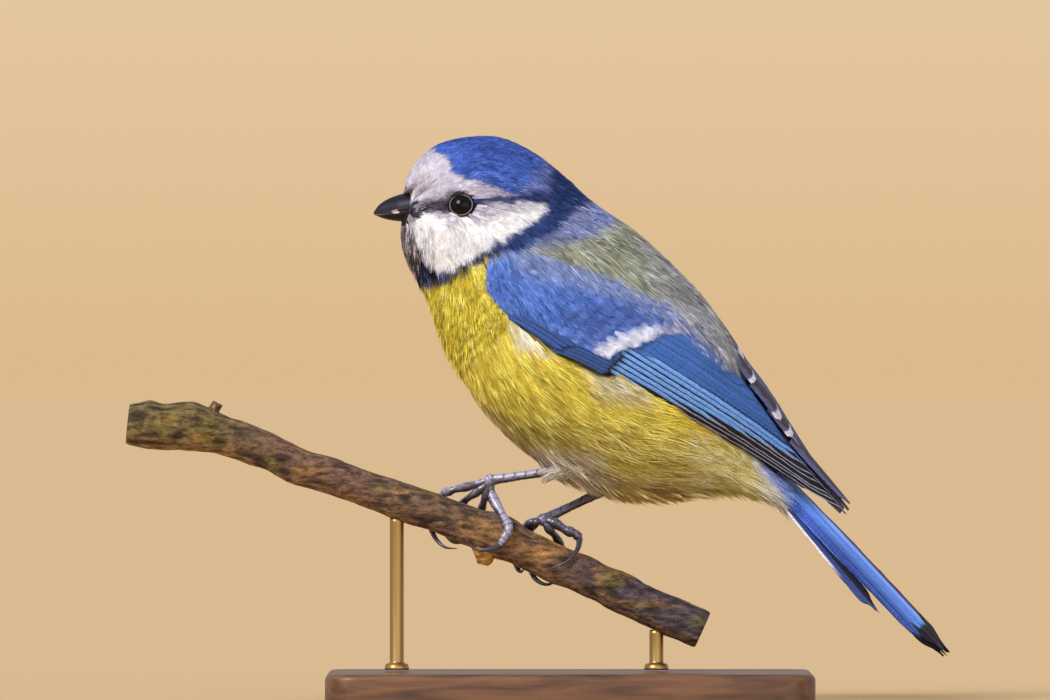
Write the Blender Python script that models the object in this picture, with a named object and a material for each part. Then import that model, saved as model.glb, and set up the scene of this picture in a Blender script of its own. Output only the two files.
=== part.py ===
"""A blue tit at rest on a cut length of branch, life size, held by a flat base and two rods.

The bird faces -X with its left side towards -Y. The origin is the middle of the
underside of the base, on the floor.
"""

import math

import bmesh
import bpy
import numpy as np
from mathutils import Matrix

MM = 0.001

# Driving sizes
GAP = 0.30 * MM
WING_BED = 1.85 * MM
WING_DEEPEST = 1.45 * MM
EYEBALL_RADIUS = 2.35 * MM
EYE_OPENING = 1.70 * MM
EYE_DISH_RADIUS = 5.5 * MM
EYE_DISH_DEPTH = 0.70 * MM
LID_RING = 1.95 * MM
LID_THICK = 0.32 * MM
EYE_PLACE = (-16.85, 77.85)
TAIL_SLOPE = math.radians(47.0)
TAIL_ROLL = math.radians(28.0)
PERCH_Y = 0.5 * MM
PERCH_FROM = -70.0 * MM
PERCH_TO = 20.6 * MM
BASE_SIZE = (76 * MM, 46 * MM, 5 * MM)
ROD_RADIUS = 1.1 * MM
ROD_FRONT_X = -27.0 * MM
ROD_REAR_X = 13.5 * MM

# Stations along the bird in its side view, in mm: the line of each section from its
# upper point to its lower point, half the width there, and how far the back leans to -Y
BODY = np.array([
    (-26.1, 79.6, -26.2, 75.0, 2.4, 0),
    (-25.4, 82.1, -26.4, 73.0, 4.0, 0),
    (-23.7, 85.0, -25.9, 70.8, 5.7, 0),
    (-20.6, 87.4, -25.0, 68.5, 7.2, 0),
    (-16.2, 88.5, -23.9, 66.6, 8.4, 0),
    (-10.9, 88.5, -22.9, 64.7, 9.2, 0),
    (-5.5, 86.1, -22.0, 62.9, 9.9, 0),
    (-1.1, 82.7, -21.2, 60.4, 10.9, 1),
    (3.4, 78.5, -19.8, 56.5, 12.5, 3),
    (9.4, 74.3, -17.0, 50.9, 14.4, 6),
    (15.3, 69.1, -12.0, 44.0, 15.5, 10),
    (20.3, 64.0, -3.9, 37.3, 15.2, 14),
    (24.0, 59.1, 6.2, 33.2, 13.4, 18),
    (26.5, 54.6, 14.8, 32.4, 11.0, 22),
    (28.2, 49.0, 22.2, 33.4, 8.8, 25),
    (30.1, 44.3, 27.3, 33.1, 7.2, 27),
    (32.8, 39.6, 31.8, 31.8, 5.8, 28),
])
# The same stations over the folded wings, which run on past the rump to their tips
WINGS = np.vstack([BODY[:13], np.array([
    (27.1, 54.3, 18.7, 36.5, 12.0, 22),
    (30.9, 49.5, 24.5, 36.8, 10.2, 25),
    (35.1, 43.1, 30.6, 35.1, 7.8, 27),
    (39.3, 36.8, 36.2, 32.0, 5.2, 28),
    (44.8, 29.4, 42.8, 27.2, 2.2, 28),
])])
WIDER_BELOW = 0.08

# Where the body is parted, and the width of each cut, counted in stations
PARTS = (
    ("head", 0.0, 6.62, 14, 32),
    ("neck", 6.675, 8.4, 6, 32),
    ("breast", 8.45, 10.2, 6, 32),
    ("belly", 10.26, 12.6, 8, 32),
    ("rump", 12.68, 16.0, 8, 28),
)

# The folded wing's outline in the side view, in mm, from the wrist to the tip
WING_LOWER = np.array([
    (-12.9, 69.3), (-13.4, 66.9), (-12.9, 64.4), (-11.4, 61.8), (-9.0, 59.1),
    (-6.2, 56.8), (-3.1, 54.9), (0.8, 52.9), (5.0, 51.0), (7.0, 51.6),
    (10.9, 49.6), (17.2, 46.0), (23.4, 42.1), (29.6, 37.9), (35.9, 33.7), (43.0, 29.9),
])
WING_UPPER = np.array([
    (-12.5, 70.0), (-10.1, 70.8), (-6.2, 70.5), (-1.6, 69.0), (3.1, 66.9),
    (7.8, 64.6), (12.5, 62.1), (16.4, 59.6), (20.3, 55.8), (27.5, 50.7),
    (30.6, 46.3), (33.4, 42.1), (36.2, 38.8), (38.6, 36.0), (41.0, 33.4), (43.4, 30.4),
])


def along(table, place):
    """Rows of the table read at places between them by a Catmull-Rom curve."""
    place = np.asarray(place, float)
    last = len(table) - 2
    row = np.clip(np.floor(place).astype(int), 0, last)
    t = (place - row)[..., None]
    p0, p1, p2, p3 = (table[np.clip(row + k, 0, last + 1)] for k in (-1, 0, 1, 2))
    p0 = np.where((row == 0)[..., None], 2 * p1 - p2, p0)
    p3 = np.where((row == last)[..., None], 2 * p2 - p1, p3)
    linear = (p2 - p0) * t
    square = (2 * p0 - 5 * p1 + 4 * p2 - p3) * t ** 2
    cube = (3 * p1 - p0 - 3 * p2 + p3) * t ** 3
    return 0.5 * (2 * p1 + linear + square + cube)


def section(table, place):
    """Middle, half height, direction up, half width and lean of the sections at these places."""
    row = along(table, place)
    upper = row[..., 0:2] * MM
    lower = row[..., 2:4] * MM
    up = upper - lower
    half = np.hypot(up[..., 0], up[..., 1]) / 2
    width = row[..., 4] * MM
    lean = np.radians(row[..., 5])
    seen = np.maximum(half ** 2 - (width * np.sin(lean)) ** 2, (0.3 * half) ** 2)
    return (upper + lower) / 2, np.sqrt(seen) / np.cos(lean), up / (2 * half)[..., None], width, lean


def surface(table, place, turn, out=0.0):
    """Points at an angle round each section: 0 is the back, + the left side, pi the belly."""
    place, turn, out = np.broadcast_arrays(*(np.asarray(v, float) for v in (place, turn, out)))
    middle, high, up, width, lean = section(table, place)
    rise = (high + out) * np.cos(turn)
    side = (width + out) * np.sin(turn) * (1 - WIDER_BELOW * np.cos(turn))
    climb = rise * np.cos(lean) - side * np.sin(lean)
    y = -rise * np.sin(lean) - side * np.cos(lean)
    return np.stack([middle[..., 0] + climb * up[..., 0], y, middle[..., 1] + climb * up[..., 1]], -1)


def wrap(table, points):
    """Place and turn on the left side of the surface, for points of the side view in mm."""
    points = np.asarray(points, float).reshape(-1, 2) * MM
    place = np.linspace(0, len(table) - 1, 600)
    row = along(table, place)
    upper = row[:, 0:2] * MM
    lower = row[:, 2:4] * MM
    reach = points[:, None, :] - lower
    line = upper - lower
    across = reach[..., 0] * line[:, 1] - reach[..., 1] * line[:, 0]
    passed = (across[:, 1:] < 0) != (across[:, :-1] < 0)
    first = np.where(passed.any(axis=1), np.argmax(passed, axis=1), len(place) - 2)
    rows = np.arange(len(points))
    before = across[rows, first]
    share = before / (before - across[rows, first + 1])
    found = place[first] + np.clip(share, 0, 1) * (place[1] - place[0])
    middle, _, up, _, _ = section(table, found)
    wanted = ((points - middle) * up).sum(-1)
    turns = np.radians(np.linspace(-60, 200, 521))
    round_it = surface(table, found[:, None], turns[None, :])
    flat = round_it[..., [0, 2]] - middle[:, None, :]
    climb = (flat * up[:, None, :]).sum(-1)
    turn = np.empty(len(points))
    for i, heights in enumerate(climb):
        top = np.argmax(heights)
        foot = top + np.argmin(heights[top:])
        turn[i] = np.interp(-wanted[i], -heights[top:foot + 1], turns[top:foot + 1])
    return found, turn


def smooth(x):
    x = np.clip(x, 0, 1)
    return x * x * (3 - 2 * x)


def bed(place, turn):
    """How far the body lies in under a folded wing: all of it inside the wing's outline."""
    low_place, low_turn = wrap(WINGS, WING_LOWER)
    top_place, top_turn = wrap(WINGS, WING_UPPER)
    turn = np.degrees(np.abs(turn))
    low = np.interp(place, low_place, np.degrees(low_turn))
    top = np.interp(place, top_place, np.degrees(top_turn))
    top = top - 28 * smooth((place - 11.8) / 0.6)
    over = 10 + 11 * smooth((place - 9.6) / 1.0)
    inside = smooth((turn - top + over) / 7) * smooth((low + 10 - turn) / 7)
    deep = WING_BED * (1 + 0.3 * smooth((place - 11.8) / 0.6))
    return deep * inside * smooth((place - low_place[0] + 0.28) / 0.2)


# Meshes made of rings
def ring_mesh(rings, closed_ends=True):
    """A closed skin through rings of points, each end filled by a fan round its middle."""
    rings = np.asarray(rings, float)
    count, around, _ = rings.shape
    mesh = bmesh.new()
    rows = [[mesh.verts.new(p) for p in ring] for ring in rings]
    for a, b in zip(rows[:-1], rows[1:]):
        for i in range(around):
            j = (i + 1) % around
            mesh.faces.new((a[i], a[j], b[j], b[i]))
    if closed_ends:
        for row in (rows[0], rows[-1]):
            middle = mesh.verts.new(sum((v.co for v in row), row[0].co * 0) / around)
            for i in range(around):
                mesh.faces.new((row[i], row[(i + 1) % around], middle))
    return mesh


def finish_mesh(mesh, name):
    """An object of its own from a bmesh, with its faces pointing out."""
    bmesh.ops.recalc_face_normals(mesh, faces=mesh.faces[:])
    bmesh.ops.triangulate(mesh, faces=mesh.faces[:])
    if mesh.calc_volume(signed=True) < 0:
        bmesh.ops.reverse_faces(mesh, faces=mesh.faces[:])
    data = bpy.data.meshes.new(name)
    mesh.to_mesh(data)
    mesh.free()
    thing = bpy.data.objects.new(name, data)
    bpy.context.scene.collection.objects.link(thing)
    return thing


def finish(thing, colour, roughness, metallic=0.0, sharp=50):
    """The piece's own material and smooth shading."""
    material = bpy.data.materials.new(thing.name)
    material.use_nodes = True
    shader = material.node_tree.nodes["Principled BSDF"]
    shader.inputs["Base Color"].default_value = (*colour, 1)
    shader.inputs["Roughness"].default_value = roughness
    shader.inputs["Metallic"].default_value = metallic
    thing.data.materials.clear()
    thing.data.materials.append(material)
    thing.data.shade_smooth()
    thing.data.set_sharp_from_angle(angle=math.radians(sharp))
    return thing


def keep_largest(data):
    """Leaves only the largest closed surface of a mesh, and none that meets it on an edge."""
    mesh = bmesh.new()
    mesh.from_mesh(data)
    left = set(mesh.faces)
    islands = []
    while left:
        island = {left.pop()}
        edge = set(island)
        while edge:
            shared = {e for face in edge for e in face.edges if len(e.link_faces) == 2}
            edge = {f for e in shared for f in e.link_faces} & left
            left -= edge
            island |= edge
        islands.append(island)
    islands.sort(key=len)
    for island in islands[:-1]:
        bmesh.ops.delete(mesh, geom=list(island), context="FACES")
    loose = [v for v in mesh.verts if not v.link_faces]
    bmesh.ops.delete(mesh, geom=loose, context="VERTS")
    bmesh.ops.triangulate(mesh, faces=mesh.faces[:])
    mesh.to_mesh(data)
    mesh.free()


def combine(thing, others, operation, solver="EXACT"):
    """One Boolean of a thing with a collection of others, applied, and the others removed."""
    group = bpy.data.collections.new("with " + thing.name)
    bpy.context.scene.collection.children.link(group)
    for other in others:
        bpy.context.scene.collection.objects.unlink(other)
        group.objects.link(other)
    modifier = thing.modifiers.new("Boolean", "BOOLEAN")
    modifier.operation = operation
    modifier.solver = solver
    modifier.operand_type = "COLLECTION"
    modifier.collection = group
    bpy.context.view_layer.update()
    evaluated = thing.evaluated_get(bpy.context.evaluated_depsgraph_get())
    data = bpy.data.meshes.new_from_object(evaluated)
    thing.modifiers.clear()
    thing.data = data
    data.name = thing.name
    for other in others:
        bpy.data.objects.remove(other)
    bpy.data.collections.remove(group)
    keep_largest(data)
    return thing


def tube(points, radii, sides):
    """Rings of a round rod along a path, each ring square to the path."""
    points = np.asarray(points, float)
    radii = np.broadcast_to(np.asarray(radii, float), len(points))
    ahead = np.gradient(points, axis=0)
    ahead /= np.linalg.norm(ahead, axis=1)[:, None]
    side = np.cross(ahead, (0.31, 0.0, 0.95))
    flat = np.linalg.norm(side, axis=1) < 0.2
    side = np.where(flat[:, None], np.cross(ahead, (0.0, 1.0, 0.0)), side)
    for i in range(1, len(side)):
        side[i] = side[i - 1] - ahead[i] * np.dot(side[i - 1], ahead[i])
    side /= np.linalg.norm(side, axis=1)[:, None]
    up = np.cross(side, ahead)
    turn = np.linspace(0, 2 * math.pi, sides, endpoint=False)
    ring = np.cos(turn)[None, :, None] * side[:, None, :] + np.sin(turn)[None, :, None] * up[:, None, :]
    return points[:, None, :] + radii[:, None, None] * ring


def bend(points, count):
    """A smooth path of this many points through a few given ones."""
    points = np.asarray(points, float)
    return along(points, np.linspace(0, len(points) - 1, count))


# Body
BLUE = (0.03, 0.11, 0.42)
YELLOW = (0.72, 0.55, 0.03)
WHITE = (0.80, 0.80, 0.78)
OLIVE = (0.20, 0.24, 0.16)
SLATE = (0.10, 0.11, 0.15)
HORN = (0.03, 0.03, 0.035)


def body_part(name, start, end, rings, sides):
    """A length of the body between two stations, sunk where the folded wings lie on it."""
    place = np.linspace(start, end, rings)[:, None]
    turn = np.linspace(0, 2 * math.pi, sides, endpoint=False)[None, :]
    signed = np.where(turn > math.pi, turn - 2 * math.pi, turn)
    return finish_mesh(ring_mesh(surface(BODY, place, turn, -bed(place, signed))), name)


TURN_Z_TO_Y = Matrix(((1, 0, 0), (0, 0, -1), (0, 1, 0)))


def ball(name, centre, radius, sides, rings, squash=(1, 1, 1)):
    """A ball whose poles lie to the left and right, stretched along x, y and z first."""
    mesh = bmesh.new()
    bmesh.ops.create_uvsphere(mesh, u_segments=sides, v_segments=rings, radius=radius)
    bmesh.ops.scale(mesh, vec=squash, verts=mesh.verts[:])
    bmesh.ops.rotate(mesh, cent=(0, 0, 0), matrix=TURN_Z_TO_Y, verts=mesh.verts[:])
    bmesh.ops.translate(mesh, vec=centre, verts=mesh.verts[:])
    return finish_mesh(mesh, name)


def eye_frame(side):
    """The point of the head's side where the eye opens, and the way that it looks."""
    place, turn = wrap(BODY, [EYE_PLACE])
    step = 0.02
    here = surface(BODY, place, turn * side)[0]
    ahead = surface(BODY, place + step, turn * side)[0] - here
    around = surface(BODY, place, (turn + step) * side)[0] - here
    out = np.cross(ahead, around) * side
    out /= np.linalg.norm(out)
    if out[1] * side > 0:
        out = -out
    return here, out


def lid_ring(name, centre, out):
    """The bare rim of the lids: a thin ring round the eye's opening."""
    around = np.linspace(0, 2 * math.pi, 18, endpoint=False)
    first = np.cross(out, (0.0, 0.0, 1.0))
    first /= np.linalg.norm(first)
    second = np.cross(out, first)
    spoke = np.cos(around)[:, None] * first + np.sin(around)[:, None] * second
    turn = np.linspace(0, 2 * math.pi, 6, endpoint=False)
    spread = LID_RING + LID_THICK * np.cos(turn)
    rise = LID_THICK * np.sin(turn)
    rings = centre + spread[None, :, None] * spoke[:, None, :] + rise[None, :, None] * out
    mesh = ring_mesh(np.vstack([rings, rings[:1]]), closed_ends=False)
    bmesh.ops.remove_doubles(mesh, verts=mesh.verts[:], dist=1e-7)
    return finish_mesh(mesh, name)


def make_head_and_eyes():
    """The head with the hollow, socket and lids of each eye, and the two eyeballs."""
    head = body_part(*PARTS[0])
    ball_behind = math.sqrt(EYEBALL_RADIUS ** 2 - EYE_OPENING ** 2)
    hollows = []
    rings = []
    eyes = []
    for label, side in (("left", 1), ("right", -1)):
        here, out = eye_frame(side)
        rim = here - out * EYE_DISH_DEPTH
        centre = rim - out * ball_behind
        dish = here + out * (EYE_DISH_RADIUS - EYE_DISH_DEPTH)
        hollows.append(ball("dish_" + label, dish, EYE_DISH_RADIUS, 20, 10))
        hollows.append(ball("socket_" + label, centre, EYEBALL_RADIUS + GAP, 14, 8))
        rings.append(lid_ring("lid_" + label, rim, out))
        eyes.append(ball("eye_" + label, centre, EYEBALL_RADIUS, 18, 10))
    combine(head, hollows[0::2], "DIFFERENCE")
    combine(head, rings, "UNION")
    combine(head, hollows[1::2], "DIFFERENCE")
    finish(head, WHITE, 0.9)
    for eye in eyes:
        finish(eye, (0.01, 0.008, 0.006), 0.05)


# The bill's three edges in the side view, in mm, and half its width at their points
BILL_TOP = np.array([(-26.45, 79.45), (-28.2, 78.85), (-29.7, 77.9), (-30.5, 76.95)])
BILL_MOUTH = np.array([(-26.45, 76.95), (-28.2, 76.55), (-29.7, 76.3), (-30.5, 76.35)])
BILL_FOOT = np.array([(-26.45, 75.25), (-28.0, 75.45), (-29.2, 75.75), (-30.1, 76.1)])
BILL_HALF_WIDTH = np.array([2.15, 1.45, 0.75, 0.22])


def half_bill(name, edge, mouth, half_widths, lift):
    """One half of the bill: D-shaped sections from the face to the tip, flat at the mouth."""
    place = np.linspace(0, 3, 9)
    crown = along(edge, place) * MM
    seam = along(mouth, place) * MM
    width = along(half_widths[:, None], place)[:, 0] * MM
    turn = np.linspace(0, math.pi, 9)
    rows = []
    for top, low, half in zip(crown, seam, width):
        low = low + np.array([0, lift])
        arch = np.sin(turn) ** 0.85
        x = low[0] + (top[0] - low[0]) * arch
        z = low[1] + (top[1] - low[1]) * arch
        rows.append(np.stack([x, half * np.cos(turn), z], -1))
    return finish_mesh(ring_mesh(rows), name)


def make_bill():
    upper = half_bill("bill_upper", BILL_TOP, BILL_MOUTH, BILL_HALF_WIDTH, GAP / 2)
    nostrils = []
    for side in (1, -1):
        spot = (-27.0 * MM, -side * 1.75 * MM, 78.05 * MM)
        nostrils.append(ball("nostril", spot, 0.34 * MM, 10, 6, (1.4, 0.8, 1.0)))
    combine(upper, nostrils, "DIFFERENCE")
    finish(upper, HORN, 0.35)
    lower = half_bill("bill_lower", BILL_FOOT, BILL_MOUTH, BILL_HALF_WIDTH * 0.93, -GAP / 2)
    finish(lower, HORN, 0.35)


def make_torso():
    colours = {"neck": BLUE, "breast": YELLOW, "belly": YELLOW, "rump": OLIVE}
    for name, start, end, rings, sides in PARTS[1:]:
        finish(body_part(name, start, end, rings, sides), colours[name], 0.9)


# Wings
SEAM_CLEAR = 0.5 * MM
# Where the two wings meet over the back: station, and degrees to the left of the middle line
SEAM = np.array([
    (12.3, 0), (13.3, 7), (14.2, 6), (14.9, 3), (15.5, -4), (16.2, -12), (17.0, -12),
])


def on_wing(flat, out, side):
    """Points of the wing's side view, in mm, set on the folded wings at this height over them.

    The right wing's inner webs lie across the middle line up to the seam, and the left
    wing ends there: nearer than half the clear width to the seam, points are pressed together.
    """
    place, turn = wrap(WINGS, flat)
    seam = np.radians(np.interp(place, SEAM[:, 0], SEAM[:, 1])) * side
    if side < 0:
        turn = turn + 2 * seam * (1 - smooth((turn - math.radians(15)) / math.radians(40)))
    _, _, _, width, _ = section(WINGS, place)
    least = seam + 0.5 * SEAM_CLEAR / np.maximum(width - WING_DEEPEST, 0.8 * MM)
    crowd = 0.18
    pressed = least + crowd * np.clip((turn - least + 1.1) / (crowd + 1.1), 0, 1)
    turn = np.where(turn < least + crowd, pressed, turn)
    return surface(WINGS, place, turn * side, np.asarray(out).ravel())


VANE_THICK = 0.5 * MM
VANE_STEPS = np.array([0.0, 0.3, 0.62, 0.9, 1.0])
# Rows of vanes in the side view, in mm: how many, the lower edge of the first and of the
# last from root to tip, how the tips crowd towards the last, the width, the height at root
# and tip, and how far the hidden edge sinks
WING_ROWS = {
    "primary": (6, ((4.1, 52.9), (43.4, 29.8)), ((8.0, 56.6), (37.1, 37.6)),
                1.5, 2.1, (-0.75, -0.20), 0.45),
    "secondary": (4, ((8.6, 57.6), (35.9, 39.0)), ((11.7, 59.8), (30.9, 45.8)),
                  1.0, 3.1, (-0.70, -0.15), 0.50),
    "tertial": (3, ((10.8, 58.2), (30.0, 46.2)), ((13.2, 59.0), (25.4, 50.6)),
                1.0, 3.7, (-0.60, -0.05), 0.50),
    "primary_covert": (2, ((-2.9, 54.9), (5.6, 50.9)), ((-1.2, 57.0), (7.3, 53.0)),
                       1.0, 2.4, (-0.45, -0.05), 0.50),
    "greater_covert": (5, ((-2.5, 59.5), (5.3, 53.7)), ((8.0, 62.8), (16.2, 57.5)),
                       1.0, 2.9, (-0.45, 0.10), 0.50),
    "alula": (2, ((-9.8, 60.0), (-1.4, 54.8)), ((-9.0, 61.0), (-0.7, 56.1)),
              1.0, 2.4, (-0.40, 0.05), 0.45),
}
BROAD_VANE = 3.5
CORE_STEPS = 16
CORE_SLICES = 6


def vane_mesh(outer, inner):
    """A thin closed plate between two grids of points, split into triangles alike on both faces."""
    steps, across, _ = outer.shape
    mesh = bmesh.new()
    front = [[mesh.verts.new(p) for p in row] for row in outer]
    back = [[mesh.verts.new(p) for p in row] for row in inner]
    for i in range(steps - 1):
        for j in range(across - 1):
            for grid, turned in ((front, False), (back, True)):
                a, b, c, d = grid[i][j], grid[i + 1][j], grid[i + 1][j + 1], grid[i][j + 1]
                for face in ((a, b, c), (a, c, d)):
                    mesh.faces.new(face[::-1] if turned else face)
    rim = [(i, 0) for i in range(steps)]
    rim += [(steps - 1, j) for j in range(1, across)]
    rim += [(i, across - 1) for i in range(steps - 2, -1, -1)]
    rim += [(0, j) for j in range(across - 2, 0, -1)]
    for (i, j), (k, m) in zip(rim, rim[1:] + rim[:1]):
        mesh.faces.new((front[i][j], back[i][j], back[k][m], front[k][m]))
    return finish_mesh(mesh, "vane")


def wing_vane(lower_edge, width, lifts, tilt, across, side):
    """A vane of the folded wing: its lower edge shows, and the other sinks under the next vane."""
    root, tip = (np.array(end) for end in lower_edge)
    ahead = (tip - root) / np.linalg.norm(tip - root)
    back = np.array([-ahead[1], ahead[0]])
    t = VANE_STEPS[:, None]
    v = np.linspace(0, 1, across)[None, :]
    swell = width * (0.6 + 0.4 * smooth(t / 0.4)) * (1 - 0.82 * smooth((t - 0.72) / 0.28) ** 1.6)
    start = 0.22 * width * smooth((t - 0.8) / 0.2) + 0.3 * np.sin(math.pi * t)
    flat = root + (tip - root) * t[..., None] + (start + swell * v)[..., None] * back
    lift = lifts[0] + (lifts[1] - lifts[0]) * smooth(t / 0.45)
    fall = tilt * (0.3 + 0.7 * smooth(t / 0.3))
    outer = (lift - fall * v) * MM
    thick = VANE_THICK * (1 - 0.3 * smooth((t - 0.75) / 0.25)) + 0 * v
    outer_points = on_wing(flat, outer, side).reshape(*outer.shape, 3)
    inner_points = on_wing(flat, outer - thick, side).reshape(*outer.shape, 3)
    return vane_mesh(outer_points, inner_points)


def wing_core(side):
    """The arm with its small coverts, and the hidden inner webs behind it, as one thin shell."""
    share = np.linspace(0, 1, CORE_STEPS)[:, None]
    lower = along(WING_LOWER, share[:, 0] * 13.4)
    upper = along(WING_UPPER, share[:, 0] * 13.0)
    inset = 0.07 * smooth((share - 0.5) / 0.1)
    slices = inset + (1 - inset) * np.linspace(0, 1, CORE_SLICES)[None, :]
    flat = lower[:, None, :] * (1 - slices)[..., None] + upper[:, None, :] * slices[..., None]
    flat = flat.reshape(-1, 2)
    crown = np.sqrt(1 - (0.92 * np.linspace(-1, 1, CORE_SLICES)[None, :]) ** 2)
    behind = smooth((share - 0.44) / 0.12)
    outer = (-0.45 + 0.5 * crown) * (1 - behind) - (0.78 - 0.13 * crown) * behind
    inner = (-0.95 - 0.40 * crown) * (1 - behind) - (1.05 + 0.30 * crown) * behind
    outer = on_wing(flat, outer * MM, side).reshape(CORE_STEPS, CORE_SLICES, 3)
    inner = on_wing(flat, inner * MM, side).reshape(CORE_STEPS, CORE_SLICES, 3)
    return finish_mesh(ring_mesh(np.concatenate([outer, inner[:, ::-1]], axis=1)), "core")


def make_wing(label, side):
    """The folded wing: its core with flight feathers and coverts in tiers, all one piece."""
    vanes = []
    for count, first, last, crowd, width, lifts, tilt in WING_ROWS.values():
        for i in range(count):
            share = i / (count - 1)
            root = np.array(first[0]) * (1 - share) + np.array(last[0]) * share
            tip = np.array(first[1]) * (1 - share ** crowd) + np.array(last[1]) * share ** crowd
            across = 3 if width > BROAD_VANE else 2
            vanes.append(wing_vane((root, tip), width, lifts, tilt, across, side))
    # The exact solver leaves edges here that touch themselves once their faces are split
    wing = combine(wing_core(side), vanes, "UNION", "MANIFOLD")
    wing.name = "wing_" + label
    finish(wing, BLUE, 0.6)


# Tail
TAIL_ROOT = np.array([33.2, 0.0, 34.6]) * MM
TAIL_TIP = np.array([57.2, 0.0, 8.9]) * MM


def tail_frame():
    """Directions along the tail, across it to the left, and out of its upper face."""
    ahead = np.array([math.cos(TAIL_SLOPE), 0, -math.sin(TAIL_SLOPE)])
    square = np.array([math.sin(TAIL_SLOPE), 0, math.cos(TAIL_SLOPE)])
    normal = square * math.cos(TAIL_ROLL) + np.array([0, -math.sin(TAIL_ROLL), 0])
    left = np.cross(ahead, normal)
    return ahead, left, normal


def body_cover(start, end):
    """The body's own shape over these stations, larger by the gap: it cuts what grows from it."""
    place = np.linspace(start, end, 22)[:, None]
    turn = np.linspace(0, 2 * math.pi, 48, endpoint=False)[None, :]
    return finish_mesh(ring_mesh(surface(BODY, place, turn, GAP + 0.1 * MM)), "cover")


TAIL_PITCH = 0.30
# Each tail feather's tip, in mm: beside the middle line and along it, from the middle outwards
TAIL_LEFT_TIPS = ((0.5, 36.0), (0.7, 36.3), (0.8, 36.0), (0.4, 34.2), (0.0, 33.0), (4.5, 24.0))
TAIL_RIGHT_TIPS = ((0.8, 36.0), (1.3, 36.4), (1.8, 36.2), (2.3, 35.6), (2.8, 34.8), (3.2, 33.6))


def tail_vane(order, tip_side, length, half_width, sign):
    """One tail feather: flat, lying a little under the one nearer to the middle of the tail."""
    ahead, left, normal = tail_frame()
    t = VANE_STEPS[:, None]
    v = np.linspace(-1, 1, 3)[None, :]
    middle = (0.3 + 0.3 * order) * (1 - t) + tip_side * t
    half = half_width * (0.72 + 0.28 * smooth(t / 0.5)) * (1 - 0.75 * smooth((t - 0.8) / 0.2) ** 1.8)
    across = sign * middle + half * v
    height = 0.75 - TAIL_PITCH * (order + 0.5 * (sign < 0)) - 0.05 * np.abs(across)
    far = t * (length + 1.0) - 1.0
    plate = (TAIL_ROOT + (far * MM)[..., None] * ahead + (across * MM)[..., None] * left)
    thick = VANE_THICK * (1 - 0.3 * smooth((t - 0.75) / 0.25))[..., None]
    raised = plate + (height * MM)[..., None] * normal
    return vane_mesh(raised + thick / 2 * normal, raised - thick / 2 * normal)


def make_tail():
    """The closed tail: six feathers a side in a shallow stack, the outermost left one short."""
    ahead, left, normal = tail_frame()
    t = np.linspace(-0.09, 0.26, 7)[:, None, None]
    turn = np.linspace(0, 2 * math.pi, 12, endpoint=False)[None, :, None]
    length = np.linalg.norm(TAIL_TIP - TAIL_ROOT)
    half_width = (4.6 - 1.9 * smooth(t / 0.26)) * MM
    thick = (2.9 - 2.1 * smooth(t / 0.26)) * MM
    rings = (TAIL_ROOT + t * length * ahead + half_width * np.cos(turn) * left
             + thick * np.sin(turn) * normal)
    tail = finish_mesh(ring_mesh(rings), "tail")
    vanes = []
    for sign, tips in ((1, TAIL_LEFT_TIPS), (-1, TAIL_RIGHT_TIPS)):
        for order, (tip_side, length) in enumerate(tips):
            vanes.append(tail_vane(order, tip_side, length, 2.2 - 0.08 * order, sign))
    combine(tail, vanes, "UNION")
    combine(tail, [body_cover(12.0, 16.09)], "DIFFERENCE")
    finish(tail, BLUE, 0.6)


# Perch: its middle line in the side view and its radius at places along x, in mm
PERCH_LINE = np.array([
    (-86, 45.4), (-72, 44.1), (-64, 43.3), (-60, 43.2), (-54, 41.8), (-48, 39.8),
    (-42, 37.0), (-34, 34.4), (-26, 31.5), (-18, 28.6), (-10, 25.3), (0, 21.0), (6, 18.2),
    (12, 15.3), (21, 11.4), (28, 8.0),
])
PERCH_RINGS = 24
PERCH_SIDES = 14
TWIG_PATH = ((-56.9, 0, 42.5), (-56.0, 0, 45.0), (-55.0, 0, 47.0))
SCAR_PATH = ((-13.6, 0, 25.5), (-13.3, 0, 23.2), (-13.6, 0, 21.9))
PERCH_RADIUS = np.array([
    (-86, 2.55), (-72, 2.9), (-66, 3.6), (-59, 3.6), (-54, 3.1), (-42, 2.9),
    (-26, 3.0), (0, 3.1), (28, 3.3),
])


def perch_at(x):
    """Middle of the branch in the side view, its radius, and the way that it runs."""
    x = np.asarray(x, float)
    place = np.interp(x / MM, PERCH_LINE[:, 0], np.arange(len(PERCH_LINE)))
    middle = along(PERCH_LINE, place)
    ahead = along(PERCH_LINE, place + 0.05) - along(PERCH_LINE, place - 0.05)
    ahead /= np.linalg.norm(ahead, axis=-1)[..., None]
    radius = np.interp(x / MM, PERCH_RADIUS[:, 0], PERCH_RADIUS[:, 1]) * MM
    return middle * MM, radius, ahead


def perch_rings(extra):
    """Rings of the branch's round outside, larger by the extra."""
    middle, radius, _ = perch_at(np.linspace(PERCH_FROM, PERCH_TO, PERCH_RINGS))
    path = np.stack([middle[:, 0], np.full(len(middle), PERCH_Y), middle[:, 1]], -1)
    return tube(path, radius + extra, PERCH_SIDES)


def stub(name, path, radii):
    """A short side growth of the branch, through points given in mm."""
    path = bend(path, len(radii)) * MM + (0, PERCH_Y, 0)
    return finish_mesh(ring_mesh(tube(path, np.array(radii) * MM, 10)), name)


def make_perch():
    """The cut branch with a broken twig at its knot and the scar of another under the feet."""
    perch = finish_mesh(ring_mesh(perch_rings(0.0)), "perch")
    twig = stub("twig", TWIG_PATH, (1.6, 1.4, 1.1, 0.9, 0.8))
    scar = stub("scar", SCAR_PATH, (1.9, 1.8, 1.6, 1.3, 0.9))
    combine(perch, [twig, scar], "UNION")
    finish(perch, (0.16, 0.10, 0.05), 0.85)


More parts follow.
